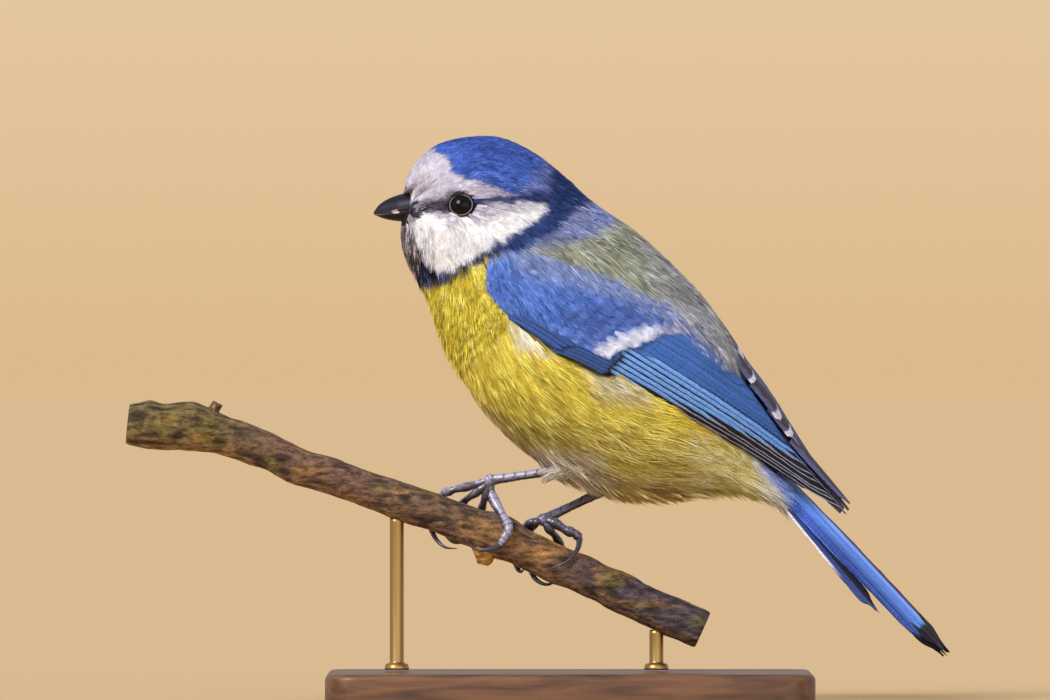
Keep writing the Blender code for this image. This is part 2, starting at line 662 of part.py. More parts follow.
def at_perch(x, z, sense, thick):
    """A side-view point in mm brought to the branch's near (-1) or far (+1) face, clear of it."""
    middle, radius, ahead = perch_at(x * MM)
    up = np.array([-ahead[1], ahead[0]])
    up = up if up[1] > 0 else -up
    height = float(np.dot(np.array([x, z]) * MM - middle, up))
    reach = radius + GAP + thick
    deep = math.sqrt(max(reach ** 2 - height ** 2, 0.0))
    return np.array([x * MM, PERCH_Y + sense * deep, z * MM])


def clear_of_perch(path, thick):
    """A path with each point moved straight out until it lies clear of the branch."""
    x = np.linspace(PERCH_FROM, PERCH_TO, 400)
    middle, radius, _ = perch_at(x)
    axis = np.stack([middle[:, 0], np.full(len(x), PERCH_Y), middle[:, 1]], -1)
    away = path[:, None, :] - axis[None, :, :]
    distance = np.linalg.norm(away, axis=-1)
    near = distance.argmin(axis=1)
    rows = np.arange(len(path))
    away = away[rows, near]
    short = distance[rows, near]
    least = radius[near] + GAP + thick
    return axis[near] + away * (np.maximum(short, least) / short)[:, None]


# Legs and feet
NEAR_JOINT = np.array([-12.5, 0.2, 34.9]) * MM
NEAR_HEEL = np.array([-1.3, -5.0, 36.5]) * MM
NEAR_THIGH = np.array([8.5, -4.6, 40.5]) * MM
FAR_JOINT = np.array([-4.2, 0.9, 28.7]) * MM
FAR_HEEL = np.array([5.3, 5.0, 33.2]) * MM
FAR_THIGH = np.array([12.0, 4.6, 41.0]) * MM
TARSUS_RADII = (0.70 * MM, 0.75 * MM, 0.92 * MM)
# Each toe: the branch face that it closes round, -1 the near one, its bones' ends and its
# claw's points in the side view, in mm
TOES = {
    "left": {
        "hind": (-1, [(-12.1, 32.3), (-10.1, 28.7), (-9.6, 27.1), (-10.9, 24.8)],
                 [(-12.8, 24.1), (-14.9, 24.3), (-16.4, 25.7)]),
        "middle": (1, [(-15.6, 34.0), (-18.6, 33.2), (-20.6, 31.6), (-22.0, 29.0)],
                   [(-21.2, 26.2), (-19.6, 24.5), (-17.6, 24.2)]),
        "inner": (1, [(-14.2, 33.2), (-16.4, 31.6), (-18.4, 28.8), (-19.3, 26.7)],
                  [(-18.3, 25.4), (-16.9, 25.2), (-15.9, 26.0)]),
        "outer": (1, [(-13.0, 32.8), (-13.6, 31.0), (-14.4, 28.2), (-14.8, 25.7)],
                  [(-13.6, 24.6), (-12.3, 24.5), (-11.5, 25.3)]),
    },
    "right": {
        "hind": (-1, [(-2.6, 28.3), (-0.6, 27.1), (0.9, 26.5), (1.5, 25.6)],
                 [(1.1, 24.0), (-0.6, 22.2), (-2.9, 21.2)]),
        "middle": (1, [(-5.4, 28.2), (-6.3, 26.6), (-6.6, 24.0), (-6.3, 21.6)],
                   [(-5.4, 19.5), (-3.4, 18.6), (-0.9, 19.9)]),
        "inner": (1, [(-6.0, 28.3), (-7.6, 26.8), (-8.5, 24.6), (-8.6, 22.4)],
                  [(-8.1, 21.0), (-7.6, 20.6), (-7.1, 21.0)]),
        "outer": (1, [(-3.4, 27.4), (-2.2, 26.0), (-1.0, 23.6), (-0.2, 21.4)],
                  [(0.7, 20.1), (1.9, 19.7), (3.0, 20.3)]),
    },
}
TOE_THICK = {"hind": 0.75, "middle": 0.66, "inner": 0.6, "outer": 0.62}
KNUCKLE_RADIUS = 1.15 * MM
TOE_RINGS = 10
CLAW_FROM = 0.52 * MM
CLAW_TO = 0.08 * MM
TOUCH = 0.05 * MM


def make_foot(label, joint):
    """The knuckle and its four toes, closed round the branch, each ending in a claw."""
    knuckle = ball("foot_" + label, joint, KNUCKLE_RADIUS, 12, 8)
    toes = []
    for toe, (sense, bones, hook) in TOES[label].items():
        thick = TOE_THICK[toe] * MM
        knots = [joint] + [at_perch(x, z, sense, thick) for x, z in bones]
        pads = thick * (1 + 0.10 * np.cos(np.linspace(0, 4 * math.pi, TOE_RINGS)))
        pads[-1] *= 0.72
        path = clear_of_perch(bend(knots, TOE_RINGS), pads + TOUCH)
        pads[0] *= 0.9
        toes.append(finish_mesh(ring_mesh(tube(path, pads, 7)), "toe"))
        points = [at_perch(x, z, sense, 0.4 * MM) for x, z in hook]
        hooked = bend([path[-3], path[-1]] + points, 61)
        gone = np.linalg.norm(hooked - path[-1], axis=1)
        start = 15 + np.argmax(gone[15:] > 1.4 * GAP)
        curve = hooked[np.linspace(start, 60, 8).astype(int)]
        radii = CLAW_FROM + (CLAW_TO - CLAW_FROM) * np.linspace(0, 1, len(curve)) ** 1.2
        curve = clear_of_perch(curve, radii + TOUCH)
        claw = finish_mesh(ring_mesh(tube(curve, radii, 7)), "claw_" + label + "_" + toe)
        finish(claw, HORN, 0.3)
    combine(knuckle, toes, "UNION")
    finish(knuckle, SLATE, 0.5)


def make_leg(label, joint, top, thigh_top, radii):
    """The bare tarsus down to the knuckle and the feathered shank that it comes out of."""
    down = (joint - top) / np.linalg.norm(joint - top)
    end = joint - down * (KNUCKLE_RADIUS + GAP)
    share = np.linspace(0, 1, 7)
    path = top + share[:, None] * (end - top)
    rings = tube(path, np.interp(share, (0, 0.6, 1), radii), 10)
    finish(finish_mesh(ring_mesh(rings), "tarsus_" + label), SLATE, 0.5)
    foot = top - down * 2 * GAP
    shank = bend([thigh_top, (thigh_top + foot) / 2, foot], 7)
    thigh = finish_mesh(ring_mesh(tube(shank, np.linspace(3.4, 1.0, 7) * MM, 14)), "thigh_" + label)
    combine(thigh, [body_cover(8.0, 15.0)], "DIFFERENCE")
    finish(thigh, YELLOW, 0.9)


# Stand
def make_stand():
    """The flat base with rounded corners and rim, and the two rods up to the branch."""
    mesh = bmesh.new()
    bmesh.ops.create_cube(mesh, size=1)
    bmesh.ops.scale(mesh, vec=BASE_SIZE, verts=mesh.verts[:])
    bmesh.ops.translate(mesh, vec=(0, 0, BASE_SIZE[2] / 2), verts=mesh.verts[:])
    upright = [e for e in mesh.edges if abs(e.verts[0].co.z - e.verts[1].co.z) > 1 * MM]
    bmesh.ops.bevel(mesh, geom=upright, offset=5 * MM, segments=5, profile=0.5, affect="EDGES")
    rim = [e for e in mesh.edges if min(v.co.z for v in e.verts) > BASE_SIZE[2] - 0.01 * MM]
    bmesh.ops.bevel(mesh, geom=rim, offset=1.0 * MM, segments=2, profile=0.5, affect="EDGES")
    finish(finish_mesh(mesh, "stand_base"), (0.45, 0.33, 0.22), 0.5, sharp=35)
    for label, x in (("front", ROD_FRONT_X), ("rear", ROD_REAR_X)):
        middle, _, _ = perch_at(x)
        path = np.array([(x, PERCH_Y, BASE_SIZE[2] + GAP), (x, PERCH_Y, middle[1])])
        rod = finish_mesh(ring_mesh(tube(path, ROD_RADIUS, 16)), "stand_rod_" + label)
        branch = finish_mesh(ring_mesh(perch_rings(GAP + 0.05 * MM)), "branch")
        combine(rod, [branch], "DIFFERENCE")
        finish(rod, (0.55, 0.50, 0.42), 0.35, 1.0)


for old in list(bpy.data.objects):
    bpy.data.objects.remove(old)
make_head_and_eyes()
make_bill()
make_torso()
make_wing("left", 1)
make_wing("right", -1)
make_tail()
make_leg("left", NEAR_JOINT, NEAR_HEEL, NEAR_THIGH, TARSUS_RADII)
make_leg("right", FAR_JOINT, FAR_HEEL, FAR_THIGH, TARSUS_RADII)
make_foot("left", NEAR_JOINT)
make_foot("right", FAR_JOINT)
make_perch()
make_stand()
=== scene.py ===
"""The looks of a life-size blue tit on its perch: finish, bare parts, feathers and coat.

The bird faces -X with its left side towards the camera. Lengths are in metres, and a value
that is multiplied by MM is a real size in millimetres. "Side view" means x and z in mm.
"""

import itertools
import math

import bpy
import numpy as np
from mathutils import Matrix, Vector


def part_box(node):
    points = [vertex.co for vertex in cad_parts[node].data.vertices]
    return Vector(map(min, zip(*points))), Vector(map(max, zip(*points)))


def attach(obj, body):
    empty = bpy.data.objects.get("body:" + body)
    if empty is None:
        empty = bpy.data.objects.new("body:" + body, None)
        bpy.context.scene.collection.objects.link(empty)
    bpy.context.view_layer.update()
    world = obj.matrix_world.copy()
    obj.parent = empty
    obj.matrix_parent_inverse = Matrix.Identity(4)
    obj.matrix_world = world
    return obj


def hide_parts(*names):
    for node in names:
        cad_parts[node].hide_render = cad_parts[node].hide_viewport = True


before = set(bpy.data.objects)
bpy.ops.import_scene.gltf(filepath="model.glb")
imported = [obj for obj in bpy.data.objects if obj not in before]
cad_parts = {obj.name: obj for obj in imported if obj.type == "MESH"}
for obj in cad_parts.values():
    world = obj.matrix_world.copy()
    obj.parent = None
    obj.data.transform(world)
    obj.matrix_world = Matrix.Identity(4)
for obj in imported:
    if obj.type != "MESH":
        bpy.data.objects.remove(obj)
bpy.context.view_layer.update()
MM = 0.001


# Room: a wide floor of warm pale matt paper that meets air of the same tone. One large soft
# light stands high at the front left and a dim one at the right, and the air lights the rest.
PAPER, AIR_HIGH, AIR_LOW = "#D4B58A", "#E7CBA5", "#DDBA8E"
FLOOR_RADIUS = 60.0
VIEW_X, VIEW_Z = -7.0 * MM, 55.2 * MM
VIEW_WIDTH = 163.8 * MM
CAMERA_AWAY = 2.5
SENSOR = 36.0


def linear(colour):
    """An sRGB hex colour as linear light: each channel by the sRGB curve."""
    share = np.array([int(colour[i:i + 2], 16) for i in (1, 3, 5)]) / 255
    return np.where(share <= 0.04045, share / 12.92, ((share + 0.055) / 1.055) ** 2.4)


def new_material(name):
    """An empty node tree with a Principled shader on its output."""
    material = bpy.data.materials.new(name)
    material.use_nodes = True
    return material, material.node_tree, material.node_tree.nodes["Principled BSDF"]


def node(tree, kind, links=(), **settings):
    """One node more: settings are properties or sockets by name, links are (socket, source)."""
    made = tree.nodes.new("ShaderNode" + kind)
    for name, value in settings.items():
        if hasattr(made, name):
            setattr(made, name, value)
        else:
            made.inputs[name.replace("_", " ")].default_value = value
    for socket, source in links:
        tree.links.new(source, made.inputs[socket])
    return made


def set_shader(shader, **values):
    """Constants on the shader's own sockets; an underscore in a name is a space."""
    for name, value in values.items():
        shader.inputs[name.replace("_", " ")].default_value = value


def grid_faces(rows, columns, closed=False):
    """Quads of a grid of points, wound so that row x column points outwards."""
    i, j = np.mgrid[0:rows - 1, 0:columns - (not closed)]
    i, j = i.ravel(), j.ravel()
    k = (j + 1) % columns
    return np.stack([i * columns + j, (i + 1) * columns + j, (i + 1) * columns + k, i * columns + k], 1)


def make_piece(name, points, faces, material, colours=None, values=None, uv=None):
    """A smooth mesh object from arrays: points, faces of 3 or 4 corners, and what they carry."""
    points = np.asarray(points, np.float32).reshape(-1, 3)
    faces = np.asarray(faces, np.int32)
    sides = faces.shape[1]
    mesh = bpy.data.meshes.new(name)
    mesh.vertices.add(len(points))
    mesh.vertices.foreach_set("co", points.ravel())
    mesh.loops.add(faces.size)
    mesh.loops.foreach_set("vertex_index", faces.ravel())
    mesh.polygons.add(len(faces))
    mesh.polygons.foreach_set("loop_start", np.arange(0, faces.size, sides, dtype=np.int32))
    mesh.update(calc_edges=True)
    mesh.shade_smooth()
    for label, colour in (colours or {}).items():
        layer = mesh.attributes.new(label, "FLOAT_COLOR", "POINT")
        full = np.ones((len(points), 4), np.float32)
        full[:, :3] = np.asarray(colour).reshape(-1, 3)
        layer.data.foreach_set("color", full.ravel())
    for label, value in (values or {}).items():
        layer = mesh.attributes.new(label, "FLOAT", "POINT")
        layer.data.foreach_set("value", np.asarray(value, np.float32).ravel())
    if uv is not None:
        layer = mesh.uv_layers.new(name="OFBake")
        corner_uv = uv if len(uv) == faces.size else np.asarray(uv)[faces.ravel()]
        layer.data.foreach_set("uv", np.asarray(corner_uv, np.float32).ravel())
    mesh.materials.append(material)
    thing = bpy.data.objects.new(name, mesh)
    bpy.context.scene.collection.objects.link(thing)
    return thing


def make_floor():
    """A flat disc in rings that widen outwards, so that it lies as one sheet to the horizon."""
    turn = np.linspace(0, 2 * math.pi, 64, endpoint=False)
    radius = np.array([1e-4, 0.2, 1.0, 5.0, 20.0, FLOOR_RADIUS])
    x = radius[:, None] * np.cos(turn)
    y = radius[:, None] * np.sin(turn)
    points = np.stack([x, y, 0 * x], -1)
    paper, tree, shader = new_material("matt background paper")
    set_shader(shader, Roughness=0.95, Specular_IOR_Level=0.0)
    place = node(tree, "TexCoord")
    fibre = node(tree, "TexNoise", [("Vector", place.outputs["Object"])], Scale=900.0)
    tone = node(tree, "MapRange", [("Value", fibre.outputs["Fac"])], To_Min=0.98, To_Max=1.02)
    sheet = node(tree, "VectorMath", [("Scale", tone.outputs["Result"])], operation="SCALE")
    sheet.inputs[0].default_value = linear(PAPER)
    tree.links.new(sheet.outputs["Vector"], shader.inputs["Base Color"])
    make_piece("floor", points, grid_faces(6, 64, closed=True), paper)


def make_air():
    """The air gives even white light, and the camera sees it as a warm wash, paler higher up."""
    world = bpy.data.worlds.new("studio air")
    world.use_nodes = True
    tree = world.node_tree
    light = tree.nodes["Background"]
    light.inputs["Color"].default_value = (*linear("#F3F4F8"), 1)
    light.inputs["Strength"].default_value = 0.62
    toward = node(tree, "TexCoord")
    height = node(tree, "SeparateXYZ", [(0, toward.outputs["Generated"])])
    share = node(tree, "MapRange", [("Value", height.outputs["Z"])], From_Min=0.0, From_Max=0.03)
    wash = node(tree, "ValToRGB", [("Fac", share.outputs["Result"])])
    wash.color_ramp.elements[0].color = (*linear(AIR_LOW), 1)
    wash.color_ramp.elements[1].color = (*linear(AIR_HIGH), 1)
    seen_air = node(tree, "Background", [("Color", wash.outputs["Color"])], Strength=1.0)
    ray = node(tree, "LightPath")
    choose = node(tree, "MixShader", [(0, ray.outputs["Is Camera Ray"]), (1, light.outputs[0]),
                                      (2, seen_air.outputs[0])])
    tree.links.new(choose.outputs[0], tree.nodes["World Output"].inputs["Surface"])
    bpy.context.scene.world = world


def soft_sun(name, toward, strength, colour, spread):
    """A wide light from far away: the direction that it comes from, and its spread in degrees."""
    light = bpy.data.lights.new(name, "SUN")
    light.energy = strength
    light.angle = math.radians(spread)
    light.color = linear(colour)
    lamp = bpy.data.objects.new(name, light)
    x, y, z = toward
    lamp.rotation_euler = (math.atan2(math.hypot(x, y), z), 0, math.atan2(x, -y))
    bpy.context.scene.collection.objects.link(lamp)


make_floor()
make_air()
soft_sun("key", (-0.75, -0.85, 0.85), 2.5, "#FDFCFF", 24)
soft_sun("fill", (0.35, -0.9, 0.12), 0.85, "#F4F6FF", 60)
bpy.context.scene.view_settings.view_transform = "Standard"

lens = bpy.data.cameras.new("camera")
lens.sensor_width = SENSOR
lens.lens = SENSOR * CAMERA_AWAY / VIEW_WIDTH
lens.clip_end = 20.0
camera = bpy.data.objects.new("camera", lens)
camera.location = (VIEW_X, -CAMERA_AWAY, VIEW_Z)
camera.rotation_euler = (math.pi / 2, 0, 0)
bpy.context.scene.collection.objects.link(camera)
bpy.context.scene.camera = camera


# Stand: a small plinth of oiled walnut with rounded corners, planed and sanded, and two rods
# of satin brass set into it, whose upper ends carry the branch.
WALNUT_DARK, WALNUT_LIGHT = "#4A2E1D", "#7A5233"
BRASS = "#B08D55"
RIM_ROUND = 1.0 * MM
CORNER_ROUND = 5.0 * MM
GRAIN_PITCH = 1.6


def fit(piece, slot, *nodes):
    """The piece is part of the still model and stands for these solids; its finish, the slot, is not used."""
    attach(piece, "root")
    if nodes:
        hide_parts(*nodes)


def rounded_outline(half_x, half_y, radius, count):
    """A rectangle with quarter circles for corners, each corner with the same number of points."""
    turn = np.linspace(0, math.pi / 2, count)
    corners = []
    for k, (sx, sy) in enumerate(((1, 1), (-1, 1), (-1, -1), (1, -1))):
        angle = turn + k * math.pi / 2
        centre = np.array([sx * (half_x - radius), sy * (half_y - radius)])
        corners.append(centre + radius * np.stack([np.cos(angle), np.sin(angle)], -1))
    return np.concatenate(corners)


def make_base():
    """Rings of the rounded outline, drawn in along a profile that rounds the upper rim."""
    _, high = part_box("stand_base")
    half_x, half_y, top = high.x, high.y, high.z
    turn = np.linspace(0, math.pi / 2, 7)
    inset = np.concatenate([[0.999, 0.6, 0.0, 0.0], RIM_ROUND * (1 - np.cos(turn)), [0.6, 0.999]])
    z = np.concatenate([[0, 0, 0, 0.5 * MM], top - RIM_ROUND * (1 - np.sin(turn)), [top, top]])
    rings = []
    for draw, height in zip(inset, z):
        if draw >= 0.5:
            ring = rounded_outline(half_x, half_y, CORNER_ROUND, 8) * (1 - draw)
        else:
            ring = rounded_outline(half_x - draw, half_y - draw, CORNER_ROUND - draw, 8)
        rings.append(np.column_stack([ring, np.full(len(ring), height)]))
    rings = np.array(rings)
    walnut, tree, shader = new_material("oiled walnut")
    set_shader(shader, Roughness=0.42, IOR=1.5)
    place = node(tree, "TexCoord")
    long_way = node(tree, "Mapping", [("Vector", place.outputs["Object"])], Scale=(0.12, 1.0, 1.0))
    grain = node(tree, "TexNoise", [("Vector", long_way.outputs["Vector"])],
                 Scale=1000 / GRAIN_PITCH, Detail=6.0, Distortion=0.8)
    pores = node(tree, "TexNoise", [("Vector", long_way.outputs["Vector"])], Scale=4500.0)
    ramp = node(tree, "ValToRGB", [("Fac", grain.outputs["Fac"])])
    ramp.color_ramp.elements[0].position, ramp.color_ramp.elements[1].position = 0.3, 0.7
    ramp.color_ramp.elements[0].color = (*linear(WALNUT_DARK), 1)
    ramp.color_ramp.elements[1].color = (*linear(WALNUT_LIGHT), 1)
    dent = node(tree, "Bump", [("Height", pores.outputs["Fac"])], Strength=0.25, Distance=0.05 * MM)
    tree.links.new(ramp.outputs["Color"], shader.inputs["Base Color"])
    tree.links.new(dent.outputs["Normal"], shader.inputs["Normal"])
    faces = grid_faces(*rings.shape[:2], closed=True)[:, ::-1]
    fit(make_piece("plinth", rings, faces, walnut), "stand_wood", "stand_base")


def revolve(centre_x, centre_y, profile, sides):
    """Points of a round piece turned about an upright line: a profile of (radius, height)."""
    turn = np.linspace(0, 2 * math.pi, sides, endpoint=False)[None, :]
    radius, height = (np.array(profile)[:, k, None] for k in (0, 1))
    x = centre_x + radius * np.cos(turn)
    y = centre_y + radius * np.sin(turn)
    return np.stack([x, y, height + 0 * turn], -1)


def make_rods():
    """The stand's rods in satin brass, with fine lines drawn along them."""
    brass, tree, shader = new_material("satin brass")
    set_shader(shader, Metallic=1.0, Base_Color=(*linear(BRASS), 1))
    place = node(tree, "TexCoord")
    drawn = node(tree, "Mapping", [("Vector", place.outputs["Object"])], Scale=(1.0, 1.0, 0.03))
    lines = node(tree, "TexNoise", [("Vector", drawn.outputs["Vector"])], Scale=6000.0)
    rough = node(tree, "MapRange", [("Value", lines.outputs["Fac"])], To_Min=0.28, To_Max=0.46)
    tree.links.new(rough.outputs["Result"], shader.inputs["Roughness"])
    for label in ("front", "rear"):
        low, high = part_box("stand_rod_" + label)
        radius = (high.x - low.x) / 2
        x, y = (low.x + high.x) / 2, (low.y + high.y) / 2
        collar = [(1e-6, low.z), (radius * 1.7, low.z), (radius * 1.75, low.z + 0.25 * MM),
                  (radius * 1.6, low.z + 0.9 * MM), (radius * 1.05, low.z + 1.1 * MM)]
        top = high.z + 0.2 * MM
        shaft = [(radius, low.z + 1.3 * MM), (radius, top - 0.6 * MM), (radius, top), (1e-6, top)]
        points = revolve(x, y, collar + shaft, 40)
        faces = grid_faces(*points.shape[:2], closed=True)[:, ::-1]
        fit(make_piece("rod_" + label, points, faces, brass), "stand_metal", "stand_rod_" + label)


make_base()
make_rods()


# Perch: a cut length of a living branch with brown, finely cracked bark, patches of olive
# algae and ochre wood, a knot with a broken twig, and an old scar under the bird's feet.
PERCH_Y = 0.5 * MM
PERCH_LINE = np.array([
    (-86, 45.4), (-72, 44.1), (-64, 43.3), (-60, 43.2), (-54, 41.8), (-48, 39.8),
    (-42, 37.0), (-34, 34.4), (-26, 31.5), (-18, 28.6), (-10, 25.3), (0, 21.0), (6, 18.2),
    (12, 15.3), (21, 11.4), (28, 8.0),
])
PERCH_RADIUS = np.array([
    (-86, 2.55), (-72, 2.9), (-66, 3.6), (-59, 3.6), (-54, 3.1), (-42, 2.9),
    (-26, 3.0), (0, 3.1), (28, 3.3),
])
TWIG = ((-56.9, 42.5), (-56.0, 45.0), (-55.0, 47.0))
SCAR = ((-13.6, 25.5), (-13.3, 23.2), (-13.6, 21.7))
BARK, BARK_FURROW_SHADE, BARK_PURPLE = "#735746", "#33261F", "#54464A"
BARK_OCHRE, BARK_OLIVE, BARK_WARM, WOOD_RAW = "#A0793C", "#6F6232", "#94714C", "#C28A3E"


def along(table, place):
    """Rows of a table read between them by a Catmull-Rom curve, its ends carried straight on."""
    place = np.asarray(place, float)
    last = len(table) - 2
    row = np.clip(np.floor(place).astype(int), 0, last)
    t = (place - row)[..., None]
    p0, p1, p2, p3 = (table[np.clip(row + k, 0, last + 1)] for k in (-1, 0, 1, 2))
    p0 = np.where((row == 0)[..., None], 2 * p1 - p2, p0)
    p3 = np.where((row == last)[..., None], 2 * p2 - p1, p3)
    square = (2 * p0 - 5 * p1 + 4 * p2 - p3) * t ** 2
    cube = (3 * p1 - p0 - 3 * p2 + p3) * t ** 3
    return 0.5 * (2 * p1 + (p2 - p0) * t + square + cube)


def smooth(x):
    """0 to 1 with level ends: 3x^2 - 2x^3."""
    x = np.clip(x, 0, 1)
    return x * x * (3 - 2 * x)


def mix(colour, other, share):
    """From one linear colour to another by a share for each point."""
    return colour + (other - colour) * np.asarray(share)[..., None]


def noise(points, size, seed):
    """A smooth random field from -1 to 1: values on a lattice of this size, blended between."""
    spot = np.asarray(points, float) / size
    cell = np.floor(spot).astype(np.int64)
    part = smooth(spot - cell)
    total = np.zeros(spot.shape[:-1])
    for corner in itertools.product((0, 1), repeat=3):
        at = cell + np.array(corner)
        key = at[..., 0] * 73856093 ^ at[..., 1] * 19349663 ^ at[..., 2] * 83492791 ^ seed * 97531
        key = ((key ^ (key >> 13)) * 1274126177) & 0x7FFFFFFF
        weight = np.prod(np.where(np.array(corner) == 1, part, 1 - part), axis=-1)
        total += weight * ((key >> 7) % 65536 / 32767.5 - 1)
    return total


def rings_along(path, radius, sides):
    """Rings square to a path: each has this radius, which may vary round the ring as well.

    The first direction of each ring is the last ring's, turned no more than the path turns.
    """
    path = np.asarray(path, float)
    ahead = np.gradient(path, axis=0)
    ahead /= np.linalg.norm(ahead, axis=1)[:, None]
    across = np.empty_like(ahead)
    across[0] = np.cross(ahead[0], (0.31, 0.0, 0.95))
    if np.linalg.norm(across[0]) < 0.2:
        across[0] = np.cross(ahead[0], (0.0, 1.0, 0.0))
    for i in range(1, len(path)):
        across[i] = across[i - 1] - ahead[i] * np.dot(across[i - 1], ahead[i])
    across /= np.linalg.norm(across, axis=1)[:, None]
    up = np.cross(across, ahead)
    turn = np.linspace(0, 2 * math.pi, sides, endpoint=False)
    spoke = np.cos(turn)[None, :, None] * across[:, None] + np.sin(turn)[None, :, None] * up[:, None]
    radius = np.broadcast_to(np.asarray(radius, float).reshape(len(path), -1), (len(path), sides))
    return path[:, None, :] + radius[..., None] * spoke, spoke, ahead


def close_ends(points, faces, columns):
    """A fan of thin quads from each end ring to a point at its middle."""
    count = len(points)
    ends = points.reshape(-1, columns, 3)
    points = np.vstack([points, ends[0].mean(0), ends[-1].mean(0)])
    j = np.arange(columns)
    k = (j + 1) % columns
    first = np.stack([np.full(columns, count), j, k, k], 1)
    last = np.stack([np.full(columns, count + 1), count - columns + k, count - columns + j,
                     count - columns + j], 1)
    tris = np.vstack([faces[:, [0, 1, 2]], faces[:, [0, 2, 3]], first[:, :3], last[:, :3]])
    return points, tris


def bark_material():
    """Bark takes its patches, with their painted shade and painted light, from the branch's attribute, and
    cracks and grain from noise.
    """
    bark, tree, shader = new_material("branch bark")
    set_shader(shader, Roughness=0.82, Specular_IOR_Level=0.3)
    place = node(tree, "TexCoord")
    patch = node(tree, "Attribute", attribute_name="bark")
    lengthways = node(tree, "Mapping", [("Vector", place.outputs["Object"])],
                      Rotation=(0.0, math.radians(24), 0.0), Scale=(0.4, 1.0, 1.0))
    crack = node(tree, "TexNoise", [("Vector", lengthways.outputs["Vector"])],
                 Scale=1300.0, Detail=6.0, Roughness=0.65)
    grit = node(tree, "TexNoise", [("Vector", place.outputs["Object"])], Scale=3800.0, Detail=4.0)
    depth = node(tree, "MapRange", [("Value", crack.outputs["Fac"])],
                 From_Min=0.38, From_Max=0.62, To_Min=0.36, To_Max=1.45)
    fine = node(tree, "MapRange", [("Value", grit.outputs["Fac"])],
                From_Min=0.3, From_Max=0.7, To_Min=0.75, To_Max=1.25)
    both = node(tree, "Math", [(0, depth.outputs["Result"]), (1, fine.outputs["Result"])],
                operation="MULTIPLY")
    shade = node(tree, "VectorMath", [(0, patch.outputs["Color"]), ("Scale", both.outputs[0])],
                 operation="SCALE")
    relief = node(tree, "Bump", [("Height", both.outputs[0])], Strength=0.7, Distance=0.14 * MM)
    tree.links.new(shade.outputs["Vector"], shader.inputs["Base Color"])
    tree.links.new(relief.outputs["Normal"], shader.inputs["Normal"])
    return bark


def make_perch():
    """The branch's middle line with rings pushed in and out by lengthways ridges and knobs."""
    low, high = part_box("perch")
    rows, columns = 420, 120
    x = np.linspace(low.x + 0.25 * MM, high.x - 1.2 * MM, rows) / MM
    place = np.interp(x, PERCH_LINE[:, 0], np.arange(len(PERCH_LINE)))
    line = along(PERCH_LINE, place) * MM
    path = np.column_stack([line[:, 0], np.full(rows, PERCH_Y), line[:, 1]])
    radius = np.interp(line[:, 0] / MM, PERCH_RADIUS[:, 0], PERCH_RADIUS[:, 1]) * MM
    points, spoke, _ = rings_along(path, radius, columns)
    share = np.linspace(0, 1, rows)[:, None] + 0 * points[..., 0]
    stretched = points * np.array([0.28, 1.0, 0.75])
    ridge = -np.abs(noise(stretched, 0.9 * MM, 3)) + 0.35
    knob = noise(points, 3.1 * MM, 5)
    fine = noise(stretched, 0.4 * MM, 7)
    lift = 0.16 * ridge + 0.22 * knob + 0.05 * fine - 0.12
    for at, reach, rise in ((-58.5, 3.4, 0.55), (-11.5, 2.0, 0.75), (-9.0, 2.4, 0.45), (-65.5, 1.6, 0.5)):
        above = 0.5 + 0.5 * spoke[..., 2]
        lift = lift + rise * np.exp(-((points[..., 0] / MM - at) / reach) ** 2) * above
    sawn = 1 - 0.06 * smooth((np.abs(share - 0.5) - 0.496) / 0.004)
    points = path[:, None, :] + (points - path[:, None, :]) * sawn[..., None] + spoke * (lift * MM)[..., None]
    colour = mix(linear(BARK), linear(BARK_PURPLE), smooth((points[..., 0] / MM + 6) / 14))
    colour = mix(colour, linear(BARK_OLIVE), smooth((-44 - points[..., 0] / MM) / 14) * 0.75)
    # Painted light: the underside is painted a warmer, lighter brown, for the warm light thrown up from the
    # floor.
    colour = mix(colour, linear(BARK_WARM), smooth(-spoke[..., 2] - 0.1) * 0.75)
    patchy = noise(points * np.array([0.5, 1, 1]), 2.6 * MM, 11)
    colour = mix(colour, linear(BARK_OCHRE), smooth((patchy - 0.25) / 0.3) * 0.5)
    colour = mix(colour, linear(BARK_OLIVE), smooth((noise(points, 3.3 * MM, 13) - 0.25) / 0.3) * 0.6)
    # Painted shade: the furrows between the ridges are painted darker.
    colour = mix(colour, linear(BARK_FURROW_SHADE), smooth((-ridge + 0.02) / 0.4) * 0.8)
    from_scar = ((points[..., 0] / MM + 3.0) / 5.0) ** 2 + ((points[..., 2] / MM - 24.5) / 2.2) ** 2
    near_scar = np.exp(-from_scar)
    colour = mix(colour, linear(WOOD_RAW), near_scar * smooth((patchy + 0.3) / 0.6) * 0.5)
    faces = grid_faces(rows, columns, closed=True)
    shut, tris = close_ends(points.reshape(-1, 3), faces, columns)
    colour = np.vstack([colour.reshape(-1, 3), linear(BARK_WARM), linear(BARK_WARM)])
    bark = bark_material()
    branch = make_piece("branch", shut, tris, bark, {"bark": colour})
    fit(branch, "bark", "perch")
    for name, route, girths, raw in (("broken_twig", TWIG, (1.6, 1.5, 1.15, 0.95, 0.8), 0.35),
                                     ("scar", SCAR, (1.9, 1.8, 1.65, 1.4, 0.95), 0.9)):
        turned = along(np.array(route, float), np.linspace(0, 2, 26)) * MM
        spine = np.column_stack([turned[:, 0], np.full(26, PERCH_Y), turned[:, 1]])
        girth = np.interp(np.linspace(0, 4, 26), np.arange(5), girths) * MM
        rings, out, _ = rings_along(spine, girth, 48)
        torn = noise(rings * np.array([1, 1, 0.4]), 0.55 * MM, 17)
        rings = rings + out * (torn * 0.17 * MM)[..., None]
        tint = mix(linear(BARK), linear(WOOD_RAW), smooth((torn + raw) / 0.8) * raw)
        shut, tris = close_ends(rings.reshape(-1, 3), grid_faces(26, 48, closed=True), 48)
        tint = np.vstack([tint.reshape(-1, 3), linear(BARK), linear(WOOD_RAW)])
        fit(make_piece(name, shut, tris, bark, {"bark": tint}), "bark")


make_perch()
